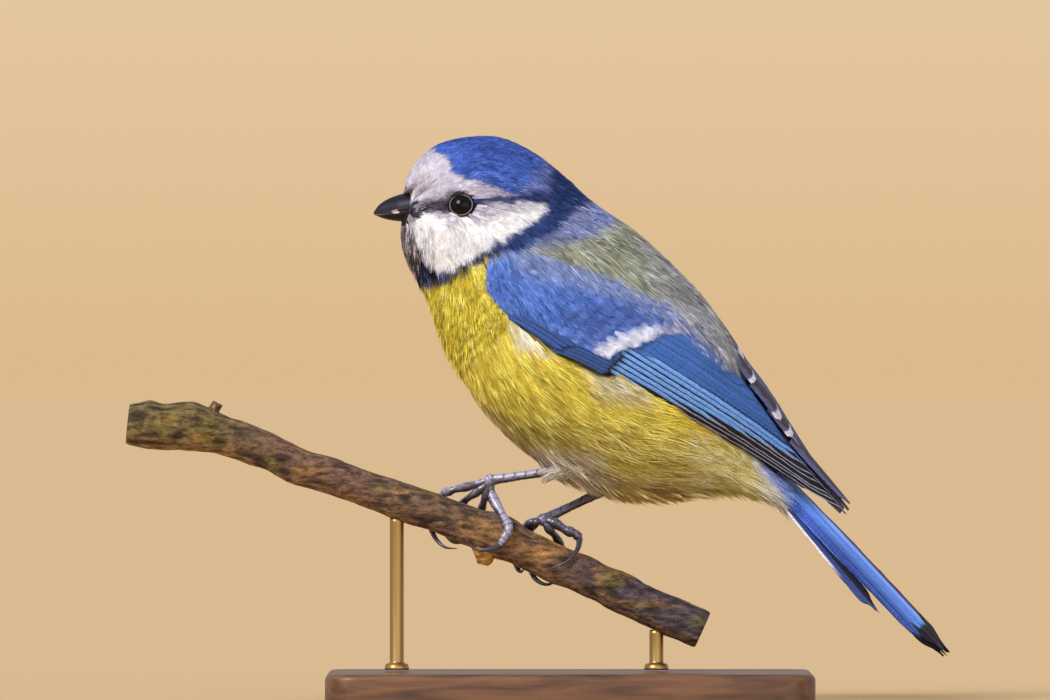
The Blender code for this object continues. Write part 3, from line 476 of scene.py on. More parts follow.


# Bare body: the skin under the coat, one closed form from the bill's root to the tail's. It
# lies inside the outline by the coat's depth, sinks under the wings and carries the same
# markings as the feathers, darkened as painted shade, so that no other colour shows between them.
BODY = np.array([
    (-26.1, 79.6, -26.2, 75.0, 2.4, 0), (-25.4, 82.1, -26.4, 73.0, 4.0, 0),
    (-23.7, 85.0, -25.9, 70.8, 5.7, 0), (-20.6, 87.4, -25.0, 68.5, 7.2, 0),
    (-16.2, 88.5, -23.9, 66.6, 8.4, 0), (-10.9, 88.5, -22.9, 64.7, 9.2, 0),
    (-5.5, 86.1, -22.0, 62.9, 9.9, 0), (-1.1, 82.7, -21.2, 60.4, 10.9, 1),
    (3.4, 78.5, -19.8, 56.5, 12.5, 3), (9.4, 74.3, -17.0, 50.9, 14.4, 6),
    (15.3, 69.1, -12.0, 44.0, 15.5, 10), (20.3, 64.0, -3.9, 37.3, 15.2, 14),
    (24.0, 59.1, 6.2, 33.2, 13.4, 18), (26.5, 54.6, 14.8, 32.4, 11.0, 22),
    (28.2, 49.0, 22.2, 33.4, 8.8, 25), (30.1, 44.3, 27.3, 33.1, 7.2, 27),
    (32.8, 39.6, 31.8, 31.8, 5.8, 28),
])
WINGS = np.vstack([BODY[:13], np.array([
    (27.1, 54.3, 18.7, 36.5, 12.0, 22), (30.9, 49.5, 24.5, 36.8, 10.2, 25),
    (35.1, 43.1, 30.6, 35.1, 7.8, 27), (39.3, 36.8, 36.2, 32.0, 5.2, 28),
    (44.8, 29.4, 42.8, 27.2, 2.2, 28),
])])
WIDER_BELOW = 0.08
WING_LOWER = np.array([
    (-12.9, 69.3), (-13.4, 66.9), (-12.9, 64.4), (-11.4, 61.8), (-9.0, 59.1),
    (-6.2, 56.8), (-3.1, 54.9), (0.8, 52.9), (5.0, 51.0), (7.0, 51.6),
    (10.9, 49.6), (17.2, 46.0), (23.4, 42.1), (29.6, 37.9), (35.9, 33.7), (43.0, 29.9),
])
WING_UPPER = np.array([
    (-12.5, 70.0), (-10.1, 70.8), (-6.2, 70.5), (-1.6, 69.0), (3.1, 66.9),
    (7.8, 64.6), (12.5, 62.1), (16.4, 59.6), (20.3, 55.8), (27.5, 50.7),
    (30.6, 46.3), (33.4, 42.1), (36.2, 38.8), (38.6, 36.0), (41.0, 33.4), (43.4, 30.4),
])
WING_BED = 1.85 * MM
EYE_PLACE = (-17.0, 77.85)
DRAWING_X, DRAWING_Z, DRAWING_SQUARE = 570, 704, 0.156
# Outlines of the markings on a side view drawn in squares of 0.156 mm, (across, down), each
# with the width of its soft edge, its ground tone, the tone of its other strands and strength
PLUMAGE = ("#D8B92E", "#F4E56E")
MARKS = (
    ("bright breast", 24, "#E4C82E", "#FBEF84", 0.85,
     ((420, 280), (500, 255), (512, 320), (505, 348), (470, 376), (440, 340))),
    ("pale flank", 8, "#E6DFC0", "#FFFFF8", 0.95, ((512, 332), (548, 338), (552, 358), (522, 354))),
    ("pale belly", 12, "#CDBE8C", "#F1E9D2", 0.85, ((590, 370), (650, 388), (655, 408), (600, 400))),
    ("streaked belly", 22, "#9A841E", "#E2D68C", 0.8,
     ((500, 420), (560, 420), (650, 436), (700, 450), (690, 478), (560, 470), (510, 440))),
    ("shaded front", 12, "#A0844A", "#D6C8A4", 0.85,
     ((462, 385), (485, 408), (520, 436), (548, 458), (540, 480), (480, 440), (445, 400))),
    # Partly the belly's own olive tone and partly painted shade along the lower edge.
    ("lower edge", 10, "#B4954C", "#E4D4A6", 0.8,
     ((535, 462), (600, 476), (690, 474), (720, 470), (720, 510), (560, 510))),
    ("vent", 14, "#E0C845", "#FFFACB", 0.9,
     ((690, 440), (760, 425), (800, 470), (790, 520), (740, 505), (700, 490))),
    ("undertail", 12, "#E4DEC8", "#FFFEFA", 0.95,
     ((752, 448), (790, 452), (860, 560), (820, 590), (770, 505))),
    ("side of the tail's root", 4, "#6482DA", "#A9BEF4", 1.0,
     ((744, 444), (753, 453), (765, 471), (779, 492), (793, 512), (835, 560), (880, 560), (815, 480),
      (770, 436))),
    ("thigh", 10, "#A89678", "#DCD2C2", 0.9, ((535, 448), (600, 455), (620, 480), (600, 500), (530, 490))),
    ("under the wing", 4, "#6277B2", "#A6AECC", 1.0,
     ((500, 262), (530, 300), (600, 330), (700, 400), (800, 470), (850, 520),
      (812, 395), (752, 366), (700, 316), (608, 256), (546, 238), (508, 244))),
    ("back", 5, "#82876C", "#BDBFAE", 1.0,
     ((505, 247), (545, 245), (590, 215), (605, 190), (640, 210), (700, 270), (760, 350),
      (812, 430), (800, 480), (770, 440), (742, 382), (700, 342), (678, 322), (662, 308),
      (642, 296), (622, 286), (598, 276), (574, 269), (550, 259), (522, 251))),
    ("rump", 22, "#8C9391", "#D0CED4", 0.85,
     ((640, 225), (700, 270), (760, 350), (812, 430), (800, 480), (742, 380), (690, 345),
      (655, 290))),
    ("pale scapulars", 12, "#969DB0", "#D6D2E0", 0.85,
     ((668, 300), (700, 310), (752, 378), (742, 386), (690, 340))),
    ("nape", 8, "#6270AC", "#A3ADDA", 0.95,
     ((570, 160), (625, 205), (618, 226), (590, 240), (545, 249), (510, 256), (535, 240),
      (575, 208), (592, 196))),
    ("head ground", 3, "#2C3458", "#3C4878", 1.0,
     ((380, 120), (560, 120), (560, 205), (545, 225), (500, 256), (440, 282), (380, 290))),
    ("collar", 3, "#1E2C62", "#3F558F", 1.0,
     ((556, 150), (548, 185), (549, 212), (540, 220), (530, 227), (520, 232), (505, 245),
      (492, 251), (500, 261), (522, 254), (545, 240), (566, 225), (579, 212), (597, 200),
      (590, 165))),
    ("crown", 3, "#3150B0", "#6484DC", 1.0,
     ((426, 142), (436, 149), (450, 157), (455, 172), (467, 179), (482, 183), (497, 188),
      (517, 196), (548, 192), (558, 150), (520, 120), (450, 120))),
    ("pale nape patch", 5, "#5C70BC", "#A9B4E0", 0.6,
     ((533, 178), (546, 160), (556, 166), (552, 196), (532, 199), (520, 196))),
    ("forehead and brow", 2.5, "#C2BBCC", "#E6E1EE", 1.0,
     ((394, 200), (395, 160), (424, 142), (436, 149), (450, 157), (455, 172), (467, 179),
      (482, 183), (497, 188), (517, 196), (522, 199), (500, 200), (478, 203), (455, 202),
      (430, 200), (405, 199))),
    ("cheek", 2.2, "#FCF8FF", "#FFFFFF", 1.0,
     ((415, 213), (450, 214), (470, 217), (480, 211), (500, 202), (520, 204), (549, 204),
      (550, 211), (541, 220), (531, 227), (521, 232), (506, 245), (496, 250), (480, 258),
      (470, 265), (460, 273), (440, 278), (425, 262), (419, 248), (415, 235), (414, 222))),
    # Painted shade: a grey copy of the white cheek, under the eye stripe.
    ("painted shade under the eye", 6, "#A29AB0", "#D2CBDA", 0.9,
     ((424, 211), (440, 219), (460, 230), (485, 225), (515, 214), (548, 206), (508, 202), (480, 206))),
    # Painted shade: a grey copy of the white brow, over the eye.
    ("painted shade over the eye", 4, "#9A91A8", "#CBC3D6", 0.8,
     ((425, 200), (445, 190), (462, 186), (490, 190), (515, 197), (480, 202))),
    ("lores", 2.6, "#221C26", "#5B5260", 0.9,
     ((390, 199), (414, 201), (430, 202), (445, 198), (455, 192), (470, 192), (479, 201),
      (494, 197), (494, 204), (480, 209),
      (470, 218), (455, 217), (440, 213), (411, 214), (390, 213))),
    ("eye stripe", 2.0, "#222A55", "#42508A", 0.95,
     ((478, 199), (500, 196.5), (520, 196.5), (552, 192), (552, 204), (520, 203.5), (500, 204), (478, 208))),
    ("round the eye", 1.6, "#100D14", "#2B2530", 1.0,
     ((448, 205), (450, 198), (455, 193), (462, 191), (469, 193), (475, 198), (478, 205),
      (475, 212), (469, 217), (462, 219), (455, 217), (450, 212))),
    ("bib", 2.5, "#150E14", "#DCD0D4", 0.97,
     ((385, 210), (411, 214), (414, 222), (415, 235), (419, 248), (425, 262), (432, 272),
      (424, 292), (410, 290), (380, 240))),
    ("bristles at the bill", 3, "#19131A", "#463D47", 1.0,
     ((396, 194), (413, 198), (428, 206), (424, 216), (415, 229), (396, 230))),
    ("bib's lower band", 2.2, "#121430", "#5E6390", 0.97,
     ((424, 262), (440, 277), (460, 272), (480, 261), (500, 250), (508, 257), (480, 268),
      (455, 284), (430, 291), (416, 282))),
)


def section(table, place):
    """Middle, half height, direction up, half width and lean of the sections at these places."""
    row = along(table, place)
    upper = row[..., 0:2] * MM
    lower = row[..., 2:4] * MM
    up = upper - lower
    half = np.hypot(up[..., 0], up[..., 1]) / 2
    width = row[..., 4] * MM
    lean = np.radians(row[..., 5])
    seen = np.maximum(half ** 2 - (width * np.sin(lean)) ** 2, (0.3 * half) ** 2)
    return (upper + lower) / 2, np.sqrt(seen) / np.cos(lean), up / (2 * half)[..., None], width, lean


def surface(table, place, turn, out=0.0):
    """Points at an angle round each section: 0 is the back, + the left side, pi the belly."""
    place, turn, out = np.broadcast_arrays(*(np.asarray(v, float) for v in (place, turn, out)))
    middle, high, up, width, lean = section(table, place)
    rise = (high + out) * np.cos(turn)
    side = (width + out) * np.sin(turn) * (1 - WIDER_BELOW * np.cos(turn))
    climb = rise * np.cos(lean) - side * np.sin(lean)
    y = -rise * np.sin(lean) - side * np.cos(lean)
    return np.stack([middle[..., 0] + climb * up[..., 0], y, middle[..., 1] + climb * up[..., 1]], -1)


def wrap(table, points):
    """Place and turn on the left side of the surface, for points of the side view in mm.

    The place is where the section's line passes the point, and the turn is found by halving.
    """
    points = np.asarray(points, float).reshape(-1, 2) * MM
    place = np.linspace(0, len(table) - 1, 500)
    row = along(table, place) * MM
    found = np.empty(len(points))
    for start in range(0, len(points), 4000):
        part = points[start:start + 4000, None, :]
        reach = part - row[:, 2:4]
        line = row[:, 0:2] - row[:, 2:4]
        across = reach[..., 0] * line[:, 1] - reach[..., 1] * line[:, 0]
        passed = (across[:, 1:] < 0) != (across[:, :-1] < 0)
        first = np.where(passed.any(axis=1), np.argmax(passed, axis=1), len(place) - 2)
        rows = np.arange(len(across))
        before = across[rows, first]
        share = np.clip(before / (before - across[rows, first + 1]), 0, 1)
        found[start:start + 4000] = place[first] + share * (place[1] - place[0])
    middle, high, up, width, lean = section(table, found)
    wanted = ((points - middle) * up).sum(-1)
    top = -np.arctan2(width * np.sin(lean), high * np.cos(lean))
    low, far = top, top + math.pi
    for _ in range(26):
        turn = (low + far) / 2
        side = width * np.sin(turn) * (1 - WIDER_BELOW * np.cos(turn))
        above = high * np.cos(turn) * np.cos(lean) - side * np.sin(lean) > wanted
        low, far = np.where(above, turn, low), np.where(above, far, turn)
    return found, (low + far) / 2


def bed(place, turn):
    """How far the body lies in under a folded wing: all of it inside the wing's outline."""
    low_place, low_turn = wrap(WINGS, WING_LOWER)
    top_place, top_turn = wrap(WINGS, WING_UPPER)
    turn = np.degrees(np.abs(turn))
    low = np.interp(place, low_place, np.degrees(low_turn))
    top = np.interp(place, top_place, np.degrees(top_turn)) - 28 * smooth((place - 11.8) / 0.6)
    over = 3 + 12 * smooth((place - 9.6) / 1.0)
    inside = smooth((turn - top + over) / 7) * smooth((low + 3 - turn) / 7)
    deep = WING_BED * (1 + 0.3 * smooth((place - 11.8) / 0.6))
    return deep * inside * smooth((place - low_place[0] + 0.10) / 0.2)


def drawn(points):
    """Side-view points of the model in squares of the drawing."""
    x = points[..., 0] / MM / DRAWING_SQUARE + DRAWING_X
    down = DRAWING_Z - points[..., 2] / MM / DRAWING_SQUARE
    return np.stack([x, down], -1)


def depth_inside(spots, outline):
    """Distance to a closed outline, in squares: + inside it, - outside, by its nearest edge."""
    flat = spots.reshape(-1, 2)
    corners = np.array(outline, float)
    nearest = np.full(len(flat), np.inf)
    inside = np.zeros(len(flat), bool)
    for a, b in zip(corners, np.roll(corners, -1, axis=0)):
        edge = b - a
        share = np.clip(((flat - a) @ edge) / (edge @ edge), 0, 1)
        nearest = np.minimum(nearest, np.linalg.norm(flat - a - share[:, None] * edge, axis=1))
        crosses = (a[1] > flat[:, 1]) != (b[1] > flat[:, 1])
        slope = edge[0] / edge[1] if edge[1] else 0.0
        inside ^= crosses & (flat[:, 0] < a[0] + (flat[:, 1] - a[1]) * slope)
    return np.where(inside, nearest, -nearest).reshape(spots.shape[:-1])


def markings(points):
    """Ground tone and other tone of the plumage at points of the body's left side."""
    spot = drawn(points) + 2.0 * np.stack([noise(points, 1.1 * MM, 23), noise(points, 1.1 * MM, 24)], -1)
    tones = [np.broadcast_to(linear(paint), points.shape).copy() for paint in PLUMAGE]
    for _, soft, ground, other, strength, outline in MARKS:
        share = strength * smooth((depth_inside(spot, outline) + soft) / (2 * soft))
        tones = [mix(tone, linear(paint), share) for tone, paint in zip(tones, (ground, other))]
    return tones


def eye_frame(side):
    """The point of the head's side where the eye opens, and the way that it looks."""
    place, turn = wrap(BODY, [EYE_PLACE])
    step = 0.02
    here = surface(BODY, place, turn * side)[0]
    ahead = surface(BODY, place + step, turn * side)[0] - here
    around = surface(BODY, place, (turn + step) * side)[0] - here
    out = np.cross(ahead, around) * side
    out /= np.linalg.norm(out)
    return here, (-out if out[1] * side > 0 else out)


EYE_DISH_RADIUS = 5.5 * MM
EYE_DISH_DEPTH = 0.52 * MM
COAT_FACE, COAT_BODY = 0.55 * MM, 0.9 * MM


def coat_depth(place):
    """The coat's depth: thin on the face, deeper from the neck on."""
    return COAT_FACE + (COAT_BODY - COAT_FACE) * smooth((place - 4.0) / 4.0)


# The bill's own outline on the drawing, where the face draws in behind its root
BILL_ROOT = ((380, 188), (402, 192), (412, 190), (409, 204), (405, 214), (402, 224), (380, 222))
FACE_TAPER = ((3.0 * MM, 30, 33), (0.15 * MM, 3, 6))


def drawn_in(points, spot):
    """Points of the face brought in towards the middle line at the bill's root.

    The face first tapers to the bill's own width, then closes in behind the bill. Each step
    has its half width, how far out it begins and how far it takes.
    """
    inside = depth_inside(spot, BILL_ROOT)
    points = points.copy()
    for half, begin, reach in FACE_TAPER:
        narrow = np.clip(points[..., 1], -half, half)
        points[..., 1] += (narrow - points[..., 1]) * smooth((inside + begin) / reach)
    return points


def dished(points):
    """Points of the head pushed in round each eye, on the sphere that hollows its socket."""
    for side in (1, -1):
        here, out = eye_frame(side)
        centre = here + out * (EYE_DISH_RADIUS - EYE_DISH_DEPTH)
        away = points - centre
        reach = np.linalg.norm(away, axis=-1)
        pushed = centre + away * (EYE_DISH_RADIUS / np.maximum(reach, 1e-9))[..., None]
        points = np.where((reach < EYE_DISH_RADIUS)[..., None], pushed, points)
    return points


def unwrapped(place, turn):
    """The coat's unwrap: once round the body in u, from the bill's root to the tail's in v."""
    return np.stack([0.5 + turn / (2 * math.pi), place / 18], -1)


def skin_material():
    """Skin under the feathers: the markings with a fine down of short streaks in the bump."""
    skin, tree, shader = new_material("down over the skin")
    set_shader(shader, Roughness=0.9, Specular_IOR_Level=0.15)
    paint = node(tree, "Attribute", attribute_name="paint")
    place = node(tree, "TexCoord")
    down = node(tree, "TexNoise", [("Vector", place.outputs["Object"])], Scale=5200.0, Detail=3.0)
    shade = node(tree, "MapRange", [("Value", down.outputs["Fac"])], To_Min=0.62, To_Max=1.05)
    tone = node(tree, "VectorMath", [(0, paint.outputs["Color"]), ("Scale", shade.outputs["Result"])],
                operation="SCALE")
    relief = node(tree, "Bump", [("Height", down.outputs["Fac"])], Strength=0.5, Distance=0.1 * MM)
    tree.links.new(tone.outputs["Vector"], shader.inputs["Base Color"])
    tree.links.new(relief.outputs["Normal"], shader.inputs["Normal"])
    return skin


def make_skin():
    """The body's skin in the plumage's tones, darkened as painted shade, under the coat by the coat's depth.
    """
    rows, columns = 220, 180
    place = np.linspace(0, 16, rows)[:, None]
    turn = np.linspace(-math.pi, math.pi, columns, endpoint=False)[None, :]
    out = -coat_depth(place) - bed(place + 0 * turn, turn + 0 * place)
    points = dished(surface(BODY, place, turn, out))
    whole = surface(BODY, place, np.abs(turn))
    points = drawn_in(points, drawn(whole))
    ground, other = markings(whole)
    # Painted shade: the skin takes the markings at 55% of their brightness, for the shade in the gaps between
    # the tufts and under the wing's edge.
    colour = (0.7 * ground + 0.3 * other) * 0.55
    faces = grid_faces(rows, columns, closed=True)
    uv = unwrapped(place + 0 * turn, turn + 0 * place).reshape(-1, 2)
    corner_uv = uv[faces]
    behind = (faces % columns == 0) & (faces.max(axis=1) % columns == columns - 1)[:, None]
    corner_uv[..., 0] += behind
    ends = np.array([points[0].mean(0), points[-1].mean(0)])
    j = np.arange(columns)
    k = (j + 1) % columns
    count = rows * columns
    caps = np.vstack([np.stack([np.full(columns, count), j, k], 1),
                      np.stack([np.full(columns, count + 1), count - columns + k,
                                count - columns + j], 1)])
    tris = np.vstack([faces[:, [0, 1, 2]], faces[:, [0, 2, 3]], caps])[:, ::-1]
    cap_v = np.repeat([0.001, 16 / 18], columns)
    cap_uv = np.stack([np.tile(j / columns, 2), cap_v], -1)[:, None, :].repeat(3, axis=1)
    loops_uv = np.vstack([corner_uv[:, [0, 1, 2]], corner_uv[:, [0, 2, 3]], cap_uv])[:, ::-1]
    colour = np.vstack([colour.reshape(-1, 3), colour[0].mean(0), colour[-1].mean(0)])
    skin = make_piece("skin", np.vstack([points.reshape(-1, 3), ends]), tris, skin_material(),
                      {"paint": colour}, uv=loops_uv.reshape(-1, 2))
    fit(skin, "plumage_yellow", "head", "neck", "breast", "belly", "rump", "thigh_left", "thigh_right")


make_skin()


# Wings: folded, each feather a thin vane of its own on a shaft. The outer vanes are bright
# blue at their lower edge and dark behind, and each feather lies over the next one outwards.
# The coverts' white tips make the wing bar. A thin dark sheet lies under them all.
SEAM_CLEAR = 0.5 * MM
WING_DEEPEST = 1.45 * MM
SEAM = np.array([
    (12.3, 0), (13.3, 7), (14.2, 6), (14.9, 3), (15.5, -4), (16.2, -12), (17.0, -12),
])
# Rows in the side view, in mm: how many, the lower edge of the first and of the last from
# root to tip, how the tips crowd, width, height of the lower edge, how much higher each lies
# than the last, fall of the hidden edge, the bright edge's width at root and tip, bright and
# dark colours, and where along the first and last feather the edge turns thin and pale
WING_ROWS = {
    "primary": (7, ((4.1, 52.9), (43.4, 29.8)), ((8.0, 56.6), (37.1, 37.6)), 1.3, 3.4,
                (-0.85, -0.62), 0.055, 0.22, (0.62, 0.55), "#6C9DE6", "#15141B", (0.12, 0.95)),
    "secondary": (6, ((8.0, 56.4), (36.8, 37.7)), ((11.5, 59.5), (31.2, 45.3)), 1.0, 3.6,
                  (-0.50, -0.34), 0.040, 0.22, (1.15, 0.8), "#3D67B2", "#171A2A", (0.97, 1.2)),
    "tertial": (3, ((10.8, 58.2), (30.0, 46.2)), ((13.2, 59.0), (25.4, 50.6)), 1.0, 4.6,
                (-0.30, -0.12), 0.050, 0.25, (3.6, 3.0), "#3F69B4", "#2B3A6E", (1.2, 1.2)),
    "primary_covert": (7, ((-2.9, 54.9), (5.6, 50.9)), ((-1.0, 57.4), (8.0, 53.4)), 1.0, 2.2,
                       (-0.50, -0.36), 0.030, 0.25, (1.2, 0.8), "#345089", "#10131E", (1.2, 1.2)),
    "greater_covert": (9, ((-2.5, 59.5), (4.3, 54.4)), ((8.0, 62.8), (15.2, 58.2)), 1.0, 3.0,
                       (-0.45, -0.14), 0.012, 0.30, (2.4, 2.2), "#44599F", "#2B3768", (1.2, 1.2)),
    "alula": (3, ((-9.8, 60.0), (-1.4, 54.8)), ((-9.0, 61.0), (0.4, 55.2)), 1.0, 1.9,
              (-0.30, -0.12), 0.045, 0.30, (1.0, 0.8), "#34508F", "#0E0F16", (1.2, 1.2)),
}
PALE_EDGE, BAR_WHITE = "#A6A6C0", "#F4F3FB"
BAR_LONG = 1.7
RIGHT_OVER = 0.35
VANE_THICK = 0.12 * MM
VANE_ROWS, VANE_COLUMNS = 44, 9
BARB_PITCH = 0.30


def on_wing(flat, out, side):
    """Points of the wing's side view, in mm, set on the folded wings at this height over them.

    The right wing's inner webs lie across the middle line up to the seam, and the left
    wing ends there: nearer than half the clear width to the seam, points are pressed together.
    """
    place, turn = wrap(WINGS, flat)
    seam = np.radians(np.interp(place, SEAM[:, 0], SEAM[:, 1])) * side
    if side < 0:
        turn = turn + 2 * seam * (1 - smooth((turn - math.radians(15)) / math.radians(40)))
    _, _, _, width, _ = section(WINGS, place)
    least = seam + 0.5 * SEAM_CLEAR / np.maximum(width - WING_DEEPEST, 0.8 * MM)
    crowd = 0.18
    pressed = least + crowd * np.clip((turn - least + 1.1) / (crowd + 1.1), 0, 1)
    turn = np.where(turn < least + crowd, pressed, turn)
    return surface(WINGS, place, turn * side, np.asarray(out).ravel()).reshape(*flat.shape[:-1], 3)


def vane_material():
    """Feather vanes: a bright edge and a dark web, barbs of uneven tone and a glossy shaft.

    The barbs are a sine of their number along the shaft, and noise read at that number and
    at the distance from the shaft makes single barbs lighter or darker.
    """
    vane, tree, shader = new_material("barbed feather vane")
    set_shader(shader, Roughness=0.55, Specular_IOR_Level=0.2)
    edge = node(tree, "Attribute", attribute_name="edge")
    web = node(tree, "Attribute", attribute_name="web")
    bright = node(tree, "Attribute", attribute_name="bright")
    barb = node(tree, "Attribute", attribute_name="barb")
    shaft = node(tree, "Attribute", attribute_name="shaft")
    wave = node(tree, "Math", [(0, barb.outputs["Fac"])], operation="SINE")
    number = node(tree, "Math", [(0, barb.outputs["Fac"])], operation="MULTIPLY")
    number.inputs[1].default_value = 0.16
    spot = node(tree, "CombineXYZ", [(0, number.outputs[0]), (1, bright.outputs["Fac"])])
    streak = node(tree, "TexNoise", [("Vector", spot.outputs[0])], Scale=1.0, Detail=3.0, Roughness=0.7)
    uneven = node(tree, "MapRange", [("Value", streak.outputs["Fac"])],
                  From_Min=0.3, From_Max=0.7, To_Min=0.56, To_Max=1.46)
    barbs = node(tree, "MapRange", [("Value", wave.outputs[0])], From_Min=-1.0, To_Min=0.93, To_Max=1.06)
    tone = node(tree, "Math", [(0, uneven.outputs["Result"]), (1, barbs.outputs["Result"])],
                operation="MULTIPLY")
    share = node(tree, "MapRange", [("Value", bright.outputs["Fac"])], From_Min=0.35, From_Max=0.65)
    both = node(tree, "MixRGB", [("Fac", share.outputs["Result"]), ("Color1", web.outputs["Color"]),
                                 ("Color2", edge.outputs["Color"])])
    lined = node(tree, "VectorMath", [(0, both.outputs["Color"]), ("Scale", tone.outputs[0])],
                 operation="SCALE")
    on_shaft = node(tree, "MapRange", [("Value", shaft.outputs["Fac"])],
                    From_Min=0.72, From_Max=0.92, To_Max=0.7)
    quill = node(tree, "Attribute", attribute_name="quill")
    horn = node(tree, "MixRGB", [("Fac", on_shaft.outputs["Result"]), ("Color1", lined.outputs["Vector"]),
                                 ("Color2", quill.outputs["Color"])])
    relief = node(tree, "Bump", [("Height", tone.outputs[0])], Strength=0.35, Distance=0.02 * MM)
    tree.links.new(horn.outputs["Color"], shader.inputs["Base Color"])
    tree.links.new(relief.outputs["Normal"], shader.inputs["Normal"])
    return vane


def plates(fronts, backs, carried):
    """Closed thin plates from pairs of point grids, all joined: points, quads, what they carry."""
    count, rows, columns, _ = fronts.shape
    size = rows * columns
    i, j = np.mgrid[0:rows - 1, 0:columns - 1]
    a = (i * columns + j).ravel()
    front = np.stack([a, a + columns, a + columns + 1, a + 1], 1)
    back = front[:, ::-1] + size
    rim = np.concatenate([np.arange(rows) * columns, (rows - 1) * columns + np.arange(1, columns),
                          np.arange(rows - 2, -1, -1) * columns + columns - 1,
                          np.arange(columns - 2, 0, -1)])
    after = np.roll(rim, -1)
    side = np.stack([rim, rim + size, after + size, after], 1)
    one = np.vstack([front, back, side])
    faces = (np.arange(count)[:, None, None] * 2 * size + one).reshape(-1, 4)
    points = np.stack([fronts.reshape(count, size, 3), backs.reshape(count, size, 3)], 1)
    doubled = {}
    for label, value in carried.items():
        value = value.reshape(count, 1, size, -1)
        doubled[label] = np.concatenate([value, value], 1).reshape(count * 2 * size, -1)
    return points.reshape(-1, 3), faces, doubled


def wing_vanes(side, row, seed):
    """Grids of one row's feathers: along the shaft by across the vane, front and back.

    The vane swells from the root, narrows to a rounded tip, and its hidden edge sinks. The
    edges are frayed a little by noise, and barbs run forward from the shaft at an angle.
    """
    (count, first, last, crowd, width, lifts, layer, tilt, bright_width,
     edge, web, fades) = WING_ROWS[row]
    order = np.arange(count)[:, None, None]
    share = order / (count - 1)
    root = np.array(first[0]) * (1 - share[..., None]) + np.array(last[0]) * share[..., None]
    tip_share = share[..., None] ** crowd
    tip = np.array(first[1]) * (1 - tip_share) + np.array(last[1]) * tip_share
    draw = np.random.default_rng(seed)
    tip = tip + draw.normal(0, 0.10, tip.shape)
    length = np.linalg.norm(tip - root, axis=-1)
    ahead = (tip - root) / length[..., None]
    back = np.stack([-ahead[..., 1], ahead[..., 0]], -1)
    t = (np.linspace(0, 1, VANE_ROWS) ** 0.85)[None, :, None]
    v = np.linspace(0, 1, VANE_COLUMNS)[None, None, :]
    full = np.ones((count, VANE_ROWS, VANE_COLUMNS))
    swell = width * (0.6 + 0.4 * smooth(t / 0.4)) * (1 - 0.86 * smooth((t - 0.80) / 0.20) ** 1.8)
    start = 0.25 * width * smooth((t - 0.84) / 0.16) ** 1.4 + 0.3 * np.sin(math.pi * t)
    spot = np.stack(np.broadcast_arrays(t * length * 2.2, v * 0.7, order * 3.1 + side), -1)
    fray = noise(spot, 1.0, seed)
    over = start + swell * v + 0.06 * fray * (np.abs(v - 0.5) * 2) ** 3 * smooth(t / 0.2)
    flat = root + (tip - root) * t[..., None] + over[..., None] * back
    flat = flat.reshape(count, VANE_ROWS, VANE_COLUMNS, 2)
    shaft_at = 0.32
    hind = side < 0 and row in ("tertial", "secondary", "primary")
    lift = lifts[0] + (lifts[1] - lifts[0] + RIGHT_OVER * hind) * smooth(t / 0.45) + layer * order
    ridge = 0.03 * np.exp(-((v - shaft_at) / 0.09) ** 2)
    curl = 0.05 * (1 - (2 * v - 0.7) ** 2) * smooth(t / 0.3)
    outer = (lift - tilt * (0.3 + 0.7 * smooth(t / 0.3)) * v + ridge + curl) * MM * full
    thick = VANE_THICK * (1 - 0.5 * smooth((t - 0.9) / 0.1))
    fronts = on_wing(flat, outer, side)
    backs = on_wing(flat, outer - thick, side)
    fade = smooth((t - (fades[0] + (fades[1] - fades[0]) * share)) / 0.12)
    edge_width = (bright_width[0] + (bright_width[1] - bright_width[0]) * t) * (1 - 0.72 * fade)
    bright = 0.5 + (edge_width - swell * v + 0.05 * fray) / 0.3
    vary = np.exp(draw.normal(0, 0.07, (count, 1, 1))) * full
    edge_paint = mix(linear(edge) * vary[..., None], linear(PALE_EDGE), 0.9 * fade * full)
    web_paint = linear(web) * full[..., None]
    far = (1 - t) * length
    if row == "greater_covert":
        white = smooth((BAR_LONG + 0.25 * fray - far) / 0.3) * smooth((7.6 - order) / 1.5)
        edge_paint = mix(edge_paint, linear(BAR_WHITE), white * full)
        web_paint = mix(web_paint, linear(BAR_WHITE), white * full)
    elif row == "primary_covert":
        edge_paint = mix(edge_paint, linear("#2A2C3C"), smooth((0.8 + 0.2 * fray - far) / 0.5) * full)
    if hind:
        white = smooth((1.9 + 0.3 * fray - far) / 0.3) * (row != "primary")
        dull = smooth((t - 0.35) / 0.35) * full
        edge_paint = mix(mix(edge_paint, linear("#575B86"), dull), linear("#DCD8EC"), white * full)
        web_paint = mix(mix(web_paint, linear("#41343F"), dull), linear("#C9C3D8"), white * full)
    barb = (t * length + np.abs(v - shaft_at) * swell * 1.1) * 2 * math.pi / BARB_PITCH
    shaft = np.exp(-((v - shaft_at) * swell / 0.10) ** 2) * smooth((0.96 - t) / 0.1)
    quill = linear("#22242F") * full[..., None]
    return fronts, backs, {"edge": edge_paint, "web": web_paint, "quill": quill,
                           "bright": bright * full, "barb": barb * full, "shaft": shaft * full,
                           "at": np.stack([v * full, t * full], -1)}


def strip_uv(points_at, faces):
    """OFBake for vanes: each feather's own strip of the map."""
    return points_at[faces.ravel()]


